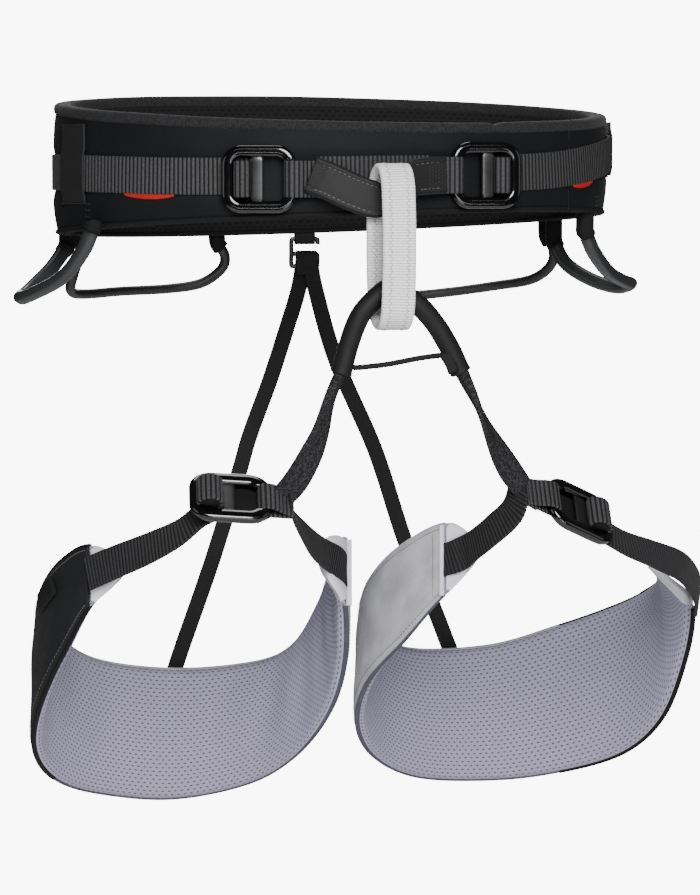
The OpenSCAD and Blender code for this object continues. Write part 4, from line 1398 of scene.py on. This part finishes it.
@dataclass
class LegBridge:
    """Sleeved arch through the belay loop, its elastic cord, and the tapes down to the legs."""

    looks: Finishes
    tube_width: float = 11.2
    body: str = Body.LEGS.value

    def arch(self, step: float = 0.8) -> Path:
        """Path of the arch, from the left end over the crown to the right end."""
        points = [[-20, -116, -110], [-16, -117.5, -95], [-10, -119.5, -79], [0, -120.3, -68.3],
                  [7, -120.3, -64.6], [14, -120.3, -68.3], [26, -119.5, -78.8], [37, -117.5, -94],
                  [45, -116, -110]]
        return Path.route(points, [0.0, 1.0, 0.0], step)

    def tube(self) -> None:
        """Sleeve: a round tube with soft creases and an open rolled end on each side."""
        path = self.arch()
        run = path.length()
        turn = np.arange(28) * 2 * np.pi / 28
        crease = 1 + 0.018 * ripple(run[:, None], turn[None] * 6, 16, 21)
        ends = 1 + 0.05 * (bump(run, 0.5, 1.2) + bump(run, run[-1] - 0.5, 1.2))[:, None]
        radius = self.tube_width / 2 * crease * ends
        section = np.stack([radius * np.cos(turn), radius * 0.98 * np.sin(turn)], -1)
        piece = skin("bridge_sleeve", path.carry(section), self.looks.tube)
        place(piece, self.body, "bridge_cover", "bridge_tube")

    def tapes(self) -> None:
        """Flecked tapes that leave the sleeve edge-on and widen to the junctions."""
        left = [[-18, -116, -104], [-20.5, -116, -110], [-26, -115, -124], [-31, -114, -142],
                [-38, -112.5, -158],
                [-46, -110, -171], [-56, -107.5, -180], [-66, -106.5, -185]]
        left_ups = [[0.5, 1, 0.2], [0.5, 1, 0.2], [0.6, 0.9, 0.1], [0.9, 0.6, 0], [1, 0.3, -0.4],
                    [0.8, 0.1, -0.6],
                    [0.5, 0.1, -0.8], [0.3, 0.1, -0.9]]
        right = [[42.5, -116, -104], [45.5, -116, -110], [54, -115, -127], [62, -114, -144],
                 [71, -112.5, -160],
                 [80, -109.5, -172], [86, -107.5, -177.5], [91, -106.5, -181]]
        right_ups = [[-0.4, 1, 0.2], [-0.4, 1, 0.2], [0.1, 1, 0.1], [0.6, 0.8, 0.2], [0.9, 0.4, 0.4],
                     [0.8, 0.2, 0.6], [0.6, 0.3, 0.7], [0.5, 0.5, 0.7]]
        for side, points, ups in ((Side.LEFT, left, left_ups), (Side.RIGHT, right, right_ups)):
            path = Path.route(points, ups, 0.9)
            share = np.linspace(0, 1, len(path.centre))
            width = 10.0 + 4.5 * smooth_step((share - 0.15) / 0.4) - 2.5 * smooth_step((share - 0.7) / 0.25)
            thick = 5.6 - 2.8 * smooth_step((share - 0.1) / 0.4)
            section = round_section(1.0, 1.0, 24, 3.2)[None] * np.stack([width, thick], -1)[:, None]
            nodes = [f"{side.value}_bridge_strap"] + (["bridge_webbing"] if side is Side.LEFT else [])
            piece = skin(f"{side.value}_bridge_tape", path.carry(section), self.looks.tape)
            place(piece, self.body, "mesh_tape", *nodes)

    def cord(self) -> None:
        """Thin elastic cord between the arch's two ends, with a small sewn tab at the right."""
        points = [[-14, -119, -107], [-8, -121, -106.5], [5, -122, -105], [22, -122, -102],
                  [36, -120, -100.5]]
        path = Path.route(points, [0.0, 1.0, 0.0], 0.9)
        run = path.length()
        swell = 1 + 0.05 * np.sin(run * 2.2)
        section = round_section(2.2, 3.0, 12)[None] * swell[:, None, None]
        cord = skin("bridge_elastic_cord", path.carry(section), self.looks.elastic)
        place(cord, self.body, "elastic", "bridge_cord")
        route = [[35, -120.5, -100], [38, -121.5, -105], [40, -121.5, -110]]
        tab = Path.route(route, [1.0, 0.0, 0.2], 0.8)
        piece = skin("bridge_cord_tab", tab.carry(flat_section(6.0, 2.2, 8)), self.looks.elastic)
        place(piece, self.body, "elastic")

    def build(self) -> None:
        """Builds the arch, the tapes and the cord."""
        self.tube()
        self.tapes()
        self.cord()


# ---- Leg loops -------------------------------------------------------------------------


@dataclass
class LegLoop:
    """One leg loop: a padded band round the thigh between two white tips.

    A station is the angle from the front, the height of the upper and lower edges, and how far
    the upper edge leans in. The stations run from the outer tip round the back to the inner tip.
    """

    side: Side
    looks: Finishes
    plan: tuple[float, float, float, float]
    stations: Points
    outer_strap: Strap
    inner_strap: Strap
    pad_thick: float = 4.6
    skin_thick: float = 1.6
    body: str = Body.LEGS.value

    def share(self, station: float) -> float:
        """Share of the whole run at a station's number."""
        return station / (len(self.stations) - 1)

    def traced(self, s: Array) -> Array:
        """Stations interpolated at shares of the run."""
        dense = spline(self.stations, 2000)
        at = np.linspace(0, 1, 2000)
        return np.stack([np.interp(s, at, dense[:, k]) for k in range(4)], -1)

    def at(self, s: Array, h: Array, o: Array) -> Array:
        """Points on the band: s along it, h from the lower edge 0 to the upper 1, o out of its face.

        The plan is an ellipse whose half sizes grow by o and shrink by the lean times h.
        """
        q = self.traced(s)
        turn = np.radians(q[..., 0])
        grow = o - q[..., 3] * h
        cx, cy, a, b = self.plan
        return np.stack(
            np.broadcast_arrays(
                cx + (a + grow) * np.sin(turn), cy - (b + grow) * np.cos(turn),
                q[..., 2] + (q[..., 1] - q[..., 2]) * h,
            ),
            -1,
        )

    def lengths(self, s: Array) -> Array:
        """Distance run along the band's middle at each share."""
        return arc(self.at(s, 0.5, 0.0))

    def shell_part(self, name: str, first: float, last: float, low: float, high: float, outer: Callable,
                   inner: Callable, material: bpy.types.Material, count: int, rows: int) -> bpy.types.Object:
        """A closed piece of the band between two faces.

        Args:
            name: the piece's name.
            first: first station's number.
            last: last station's number.
            low: share of the height where it starts.
            high: share of the height where it ends.
            outer: offset of the outer face, as a function of share along, share up and distance.
            inner: offset of the inner face, likewise.
            material: the finish.
            count: rings along the band.
            rows: points up each face.

        Returns:
            The new object.
        """
        s = np.linspace(self.share(first), self.share(last), count)[:, None]
        run = self.lengths(s[:, 0])[:, None]
        h = np.linspace(low, high, rows)[None]
        faces = [
            self.at(np.broadcast_to(s, (count, rows)), h[:, ::way] + 0 * s, offset(s, h[:, ::way], run))
            for offset, way in ((outer, 1), (inner, -1))
        ]
        return skin(name, np.concatenate(faces, 1), material)

    def edge_round(self, h: Array) -> Array:
        """Share of the thickness left near an edge: a quarter circle over the last 5% of height."""
        near = np.clip(np.minimum(h, 1 - h) / 0.05, 0, 1)
        return np.sqrt(1 - (1 - near) ** 2)

    def pad(self) -> None:
        """Foam and mesh: crowned towards the thigh, dimpled at each hole, thin at its edges."""
        out = -self.skin_thick - 0.2

        def inner(s: Array, h: Array, run: Array) -> Array:
            """Inner face with 1.4 mm crown and slow dents."""
            q = self.traced(s)
            up = h * (q[..., 1] - q[..., 2])
            crown = 1.4 * (1 - np.abs(2 * h - 1) ** 3)
            dents = 0.7 * ripple(run, up, 60, 31 + len(self.side.value)) * (1 - (2 * h - 1) ** 2)
            return out - self.pad_thick * self.edge_round(h) - crown - dents

        piece = self.shell_part(
            f"{self.side.value}_leg_foam_pad", 0.9, 12.1, 0, 1, lambda s, h, run: out + 0 * (s + h), inner,
            self.looks.leg_mesh, 420, 60,
        )
        place(piece, self.body, "leg_mesh", f"{self.side.value}_leg_pad")

    def fabric(self) -> None:
        """Outer fabric: black shell on the outer side, light grey panel behind and inside."""
        parts = (
            ("shell", 1, 5.02, self.looks.leg_shell, "shell_fabric", 90),
            ("panel", 5.0, 12, self.looks.panel, "leg_panel_fabric", 180),
        )
        for kind, first, last, material, slot, count in parts:

            def outer(s: Array, h: Array, run: Array) -> Array:
                """Outer face: crown of 0.8 mm, creases of 0.5 mm, rounded over at the edges."""
                crease = 0.5 * ripple(run, 70 * h, 38, 41) * (1 - (2 * h - 1) ** 2)
                crown = 0.8 * (1 - np.abs(2 * h - 1) ** 3)
                return -self.skin_thick * (1 - self.edge_round(h)) + crown + crease

            piece = self.shell_part(
                f"{self.side.value}_leg_outer_{kind}", first, last, -0.012, 1.012, outer,
                lambda s, h, run: -self.skin_thick + 0 * (s + h), material, count, 24,
            )
            place(piece, self.body, slot, f"{self.side.value}_leg_{kind}")

    def tips(self) -> None:
        """White moulded tips: the band's own face, closed by a half-round end."""
        last = len(self.stations) - 1
        for kind, first, end in (("outer", 0.93, 0.0), ("inner", last - 0.93, last)):
            s = np.linspace(self.share(first), self.share(end), 40)[:, None]
            run = self.lengths(s[:, 0])
            reach = run[-1]
            q = self.traced(s[:, 0])
            half = 0.5 * (q[0, 1] - q[0, 2])
            left = np.clip((reach - run) / half, 0, 1)
            cap = np.sqrt(1 - (1 - left) ** 2) * 0.98 + 0.02
            rows = 16
            h = 0.5 + (np.linspace(0, 1, rows)[None] - 0.5) * cap[:, None]
            round_off = self.edge_round(np.linspace(0, 1, rows))[None] * np.minimum(1, 0.25 + cap[:, None])
            faces = []
            for way, base, swell in (
                (1, -self.skin_thick, 1.0),
                (-1, -self.skin_thick - self.pad_thick, -0.6),
            ):
                middle = -self.skin_thick - self.pad_thick / 2
                o = middle + (base + swell - middle) * round_off
                faces.append(self.at(np.broadcast_to(s, (40, rows)), h[:, ::way], o[:, ::way]))
            piece = skin(f"{self.side.value}_{kind}_moulded_tip", np.concatenate(faces, 1), self.looks.tip)
            place(piece, self.body, "tip_fabric", f"{self.side.value}_{kind}_tip")

    def piping(self) -> None:
        """Rolled edge along the top and bottom of the band."""
        for kind, h, first, last, material, width, slot in (
            ("lower_grey", 0.0, 5.0, 12.0, self.looks.piping, 1.2, "leg_panel_fabric"),
            ("upper_grey", 1.0, 5.0, 12.0, self.looks.panel, 1.1, "leg_panel_fabric"),
            ("lower_black", 0.0, 1.0, 5.0, self.looks.hem, 2.6, "shell_fabric"),
            ("upper_black", 1.0, 1.0, 3.4, self.looks.hem, 2.0, "shell_fabric"),
        ):
            s = np.linspace(self.share(first), self.share(last), 200)
            path = Path.through(self.at(s, h, -self.skin_thick - 0.4), UP)
            section = round_section(width, 3.0, 14, 2.4)
            piece = skin(f"{self.side.value}_leg_{kind}_piping", path.carry(section), material)
            place(piece, self.body, slot)

    def slot(self) -> None:
        """Folded lip where the inner strap goes under the panel, with a row of stitches behind it."""
        h = np.linspace(0.02, 0.98, 60)
        s = np.full(60, self.share(11.98))
        out = unit(self.at(s, h, 2.0) - self.at(s, h, 0.0))
        path = Path.through(self.at(s, h, 0.1), out)
        section = round_section(3.4, 2.6, 14, 2.4)
        piece = skin(f"{self.side.value}_leg_slot_lip", path.carry(section), self.looks.tip)
        place(piece, self.body, "leg_panel_fabric")
        row = self.at(np.full(24, self.share(11.8)), np.linspace(0.12, 0.88, 24), 1.35)
        heading = unit(np.gradient(row, axis=0))
        ups = np.broadcast_to(out[30], heading.shape)
        stitches = threads(
            f"{self.side.value}_leg_slot_stitches", row, heading, ups, 1.1, 0.4, self.looks.grey_thread
        )
        place(stitches, self.body, "leg_panel_fabric")

    def seams(self) -> None:
        """A row of stitches just inside each edge of the outer fabric."""
        spots, headings, ups = [], [], []
        for h in (0.07, 0.93):
            s = np.linspace(self.share(1.1), self.share(11.9), 170)
            chain = self.at(s, h, 0.55)
            run = unit(np.gradient(chain, axis=0))
            spots.append(chain)
            headings.append(run)
            ups.append(unit(self.at(s, h, 2.0) - self.at(s, h, 0.0)))
        piece = threads(
            f"{self.side.value}_leg_edge_stitches", np.vstack(spots), np.vstack(headings),
            np.vstack(ups), 1.8, 0.45,
            self.looks.grey_thread,
        )
        place(piece, self.body, "leg_panel_fabric")

    def straps(self) -> None:
        """The adjustable outer strap and the sewn inner strap."""
        for kind, strap in (("outer", self.outer_strap), ("inner", self.inner_strap)):
            piece = strap.build(self.looks.leg_webbing)
            place(piece, self.body, "webbing", f"{self.side.value}_{kind}_strap")

    def tab(self) -> None:
        """Small elastic tab folded on the outer side."""
        s = np.linspace(self.share(2.2), self.share(2.75), 14)
        path = Path.through(self.at(s, 0.78, 2.6), UP)
        section = round_section(11.0, 2.4, 16, 3.0)
        piece = skin(f"{self.side.value}_leg_side_tab", path.carry(section), self.looks.elastic)
        place(piece, self.body, "elastic", f"{self.side.value}_leg_tab")

    def build(self) -> None:
        """Builds the leg loop."""
        self.pad()
        self.fabric()
        self.tips()
        self.piping()
        self.slot()
        self.seams()
        self.straps()
        self.tab()


def leg_loops(looks: Finishes) -> list[LegLoop]:
    """Both leg loops, which hang a little differently."""
    left = [[-32, -210, -224, 0], [-46, -205, -238, 0], [-60, -213, -266, 2], [-80, -230, -300, 4],
            [-100, -247, -326, 4], [-125, -268, -350, 3], [-150, -286, -364, 2], [-180, -294, -371, 2],
            [-208, -291, -363, 2], [-230, -280, -345, 4], [-254, -252, -312, 7], [-274, -227, -277, 6],
            [-289, -207, -245, 0], [-311, -203, -225, 4]]
    right = [[58, -224, -238, 22], [74, -230, -252, 20], [92, -236, -284, 14], [110, -245, -322, 8],
             [130, -258, -347, 5], [155, -273, -361, 3], [180, -285, -366, 2], [209, -285, -361, 2],
             [235, -273, -343, 3], [260, -252, -316, 3], [280, -232, -291, 2], [302, -210, -265, 0],
             [320, -196, -236, 0], [333, -201, -219, 0]]
    left_outer = Strap(
        "left_outer_webbing",
        [[-149, -64, -220], [-137, -76, -213], [-120, -91, -204], [-105, -101, -195], [-93, -105, -185],
         [-82, -107, -180]],
        [[0, 0.3, 1], [0, 0.4, 1], [0, 0.6, 0.9], [0.1, 0.8, 0.8], [0.1, 0.9, 0.7], [0.1, 0.9, 0.7]],
        19, 1.8, 2.2,
    )
    left_inner = Strap(
        "left_inner_webbing",
        [[-46, -109.5, -173], [-44, -105.5, -186], [-35, -93, -198], [-26, -75, -206.5], [-16, -55.5, -213.5],
         [-7, -44.5, -219], [-1.8, -33, -224], [-1, -26, -228]],
        [[0.1, 1, 0.1], [0.1, 1, 0.2], [0.1, 0.8, 0.7], [0, 0.3, 1], [0, 0.1, 1], [0, 0, 1], [0, 0, 1],
         [0, 0, 1]],
        17, 1.8, 2.2,
    )
    right_outer = Strap(
        "right_outer_webbing",
        [[201, -36, -247], [196, -50, -236], [182, -70, -223], [162, -86, -214], [142, -96, -206],
         [126, -99.5, -197], [115, -101, -192]],
        [[0.2, 0.3, 1], [0.2, 0.4, 1], [0.3, 0.6, 0.8], [0.2, 0.7, 0.7], [0.1, 0.8, 0.7], [0.1, 0.8, 0.7],
         [0.1, 0.8, 0.7]], 19, 1.8, 2.2,
    )
    right_inner = Strap(
        "right_inner_webbing",
        [[79, -109.5, -174], [76, -106, -186], [67, -97.5, -197], [61, -88, -204.5], [56.5, -77.5, -210.5],
         [51.5, -72.3, -214], [46.5, -66.6, -216.3], [43, -60.5, -219]],
        [[-0.4, 0.9, 0.3], [-0.4, 0.8, 0.5], [0, 0.4, 1], [0.1, 0.1, 1], [0, 0, 1], [0, 0, 1], [0, 0, 1],
         [0, 0, 1]], 18, 1.8, 2.2,
    )
    return [
        LegLoop(Side.LEFT, looks, (-84, 0, 90, 88), left, left_outer, left_inner),
        LegLoop(Side.RIGHT, looks, (109.5, 0, 98.5, 88), right, right_outer, right_inner),
    ]


# ---- Risers ----------------------------------------------------------------------------


@dataclass
class Risers:
    """Two elastic straps from the rear hook to the backs of the leg loops, the hook and its keeper."""

    looks: Finishes
    hook: tuple[float, float, float] = (-0.5, 99.0, -43.2)
    width: float = 9.5
    body: str = Body.LEGS.value

    def straps(self) -> None:
        """Both risers, smooth flat elastic."""
        left = [[-1, 100.7, -56], [-4, 100.4, -73], [-12, 99, -98], [-22, 97, -127], [-34, 95, -158],
                [-41, 94, -181],
                [-57, 91.6, -231], [-78, 91, -290], [-82, 91, -306]]
        right = [[2.5, 97.3, -56], [6, 97.4, -74], [18, 97, -115], [41, 95, -168], [59, 93, -223],
                 [75, 91.4, -260], [86, 91, -288],
                 [92, 91, -302]]
        for side, points, up in ((Side.LEFT, left, [1.0, 0.0, 0.3]), (Side.RIGHT, right, [-1.0, 0.0, 0.35])):
            path = Path.route(points, up, 1.6)
            section = flat_section(self.width, 1.4, 8)
            piece = skin(f"{side.value}_riser_elastic", path.carry(section), self.looks.elastic)
            place(piece, self.body, "elastic", f"{side.value}_riser")

    def hook_piece(self) -> None:
        """Flat moulded hook: one bent bar with its mouth at the right, and a small frame below."""
        x, y, z = self.hook
        outline = [[7.8, -3.2], [7.7, -0.6], [6.4, 0], [0, 0], [-6.6, 0], [-7.9, -1.2], [-8, -8],
                   [-8, -15], [-6.8, -16],
                   [0, -16], [6.8, -16], [7.6, -14.8], [7.6, -10], [6.6, -8.8], [0, -8.8], [-7, -8.8]]
        points = [[x + a, y, z + b] for a, b in outline]
        path = Path.route(points, [0.0, 1.0, 0.0], 0.6)
        piece = skin("rear_hook_bar", path.carry(round_section(2.5, 2.8, 12, 3)), self.looks.hook)
        place(piece, self.body, "hook_plastic", "riser_hook")
        wrap = [[x + 1, y - 1.9, z - 21], [x + 1, y - 1.9, z - 12], [x + 1, y - 1.7, z - 9],
                [x + 1, y, z - 7.4],
                [x + 1, y + 1.7, z - 9], [x + 1, y + 1.9, z - 12], [x + 1, y + 1.9, z - 21]]
        cover = Path.route(wrap, [1.0, 0.0, 0.0], 0.8)
        piece = skin("riser_top_wrap", cover.carry(flat_section(12.6, 1.2, 8)), self.looks.elastic)
        place(piece, self.body, "elastic")

    def keeper(self) -> None:
        """Webbing loop under the belt's back that the hook hangs in."""
        x, y, z = self.hook
        turn = np.linspace(0, 2 * np.pi, 60, endpoint=False)
        wave = np.stack([np.cos(turn), np.sin(turn)], -1)
        loop = np.sign(wave) * np.abs(wave) ** 0.55
        chain = np.stack([0 * turn + x, y + 2.25 * loop[:, 0], z + 1.4 + 4.1 * loop[:, 1]], -1)
        path = Path.through(chain, np.array([1.0, 0.0, 0.0]), closed=True)
        section = flat_section(12.0, 1.1, 8)
        piece = skin("hook_keeper_webbing", path.carry(section), self.looks.elastic, closed=True)
        place(piece, Body.BELT.value, "elastic", "hook_keeper")

    def build(self) -> None:
        """Builds the risers, the hook and its keeper."""
        self.straps()
        self.hook_piece()
        self.keeper()


# ---- Studio ----------------------------------------------------------------------------


@dataclass
class Studio:
    """Pale floor, soft lights and the camera."""

    azimuth: float = -11.0
    elevation: float = 4.5
    distance: float = 2.0
    target: tuple[float, float, float] = (0.0072, -0.0014, -0.1587)
    pixels_per_mm: float = 1.774
    frame_pixels: int = 700
    sensor: float = 36.0
    floor_height: float = -0.62
    floor_half: float = 850.0
    strip_width: float = 0.03
    soft_light: float = 0.09
    backdrop: float = 9.0

    def camera(self) -> None:
        """Camera on a sphere round the target: the lens follows from the scale at that distance."""
        a, e = np.radians(self.azimuth), np.radians(self.elevation)
        back = Vector((np.sin(a) * np.cos(e), -np.cos(a) * np.cos(e), np.sin(e)))
        data = bpy.data.cameras.new("camera")
        data.sensor_fit = "HORIZONTAL"
        data.sensor_width = self.sensor
        data.lens = self.pixels_per_mm * self.distance / MM * self.sensor / self.frame_pixels
        data.clip_end = 50
        data.dof.use_dof = False
        camera = bpy.data.objects.new("camera", data)
        camera.location = Vector(self.target) + back * self.distance
        camera.rotation_euler = (-back).to_track_quat("-Z", "Y").to_euler()
        bpy.context.scene.collection.objects.link(camera)
        bpy.context.scene.camera = camera

    def lights(self) -> None:
        """Soft discs round the harness, two narrow strips in front, and a world seen as near white.

        The strips give the long highlights on the buckles. The world lights the harness faintly,
        and rays from the camera see it much brighter.
        """
        spots = (
            ("key", (-0.1, -1.6, 0.55), 0.8, 42),
            ("right_fill", (1.4, -0.8, 0.1), 0.9, 2),
            ("left_fill", (-1.4, -0.5, 0.1), 0.9, 3),
            ("top", (0.0, 0.5, 1.3), 0.8, 9),
            ("low_front", (0.1, -1.5, -0.55), 0.8, 5),
            ("back", (0.2, 1.5, 0.3), 1.0, 10),
            ("low_strip", (0.0, -1.5, -0.3), 1.6, 2.6),
            ("high_strip", (0.0, -1.45, 0.5), 1.6, 2),
        )
        for name, spot, size, power in spots:
            data = bpy.data.lights.new(name, "AREA")
            strip = name.endswith("strip")
            data.shape = "RECTANGLE" if strip else "DISK"
            data.size = size
            data.size_y = self.strip_width if strip else size
            data.energy = power
            light = bpy.data.objects.new(name, data)
            light.location = spot
            light.rotation_euler = (Vector(self.target) - Vector(spot)).to_track_quat("-Z", "Y").to_euler()
            bpy.context.scene.collection.objects.link(light)
        world = bpy.data.worlds.new("studio_world")
        world.use_nodes = True
        tree = world.node_tree
        soft = tree.nodes["Background"]
        soft.inputs["Color"].default_value = linear("#f6f7fa")
        soft.inputs["Strength"].default_value = self.soft_light
        seen = add_node(
            tree, "ShaderNodeBackground", {"Color": linear("#ffffff"), "Strength": self.backdrop}
        )
        path = add_node(tree, "ShaderNodeLightPath")
        mix = add_node(
            tree, "ShaderNodeMixShader",
            {0: path.outputs["Is Camera Ray"], 1: soft.outputs[0], 2: seen.outputs[0]},
        )
        tree.links.new(mix.outputs[0], tree.nodes["World Output"].inputs["Surface"])
        bpy.context.scene.world = world

    def floor(self) -> None:
        """Wide pale floor below the hanging harness."""
        half = self.floor_half
        z = self.floor_height / MM
        points = np.array([[-half, -half, z], [half, -half, z], [half, half, z], [-half, half, z]])
        material = Finish("pale_floor", "#fbfbfb", 0.9).make()
        piece = add_mesh("floor", points, np.array([[0, 1, 2, 3]]), None, material)

    def build(self) -> None:
        """Builds the studio."""
        self.camera()
        self.lights()
        self.floor()


# ---- Whole harness ---------------------------------------------------------------------


def main() -> None:
    """Builds every sub-assembly in order."""
    logging.basicConfig(level=logging.INFO, format="%(name)s: %(message)s")
    Studio().build()
    looks = Finishes()
    low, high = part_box("belt_shell")
    belt = WaistBelt(looks, half_width=(high.x - low.x) / 2 / MM, half_depth=(high.y - low.y) / 2 / MM)
    belt.build()
    for buckle in buckles(belt, looks):
        buckle.build()
    TieInLoop(looks).build()
    BelayLoop(looks).build()
    for loop in gear_loops(looks):
        loop.build()
    LegBridge(looks).build()
    for leg in leg_loops(looks):
        leg.build()
    Risers(looks).build()


if __name__ == "__main__":
    main()
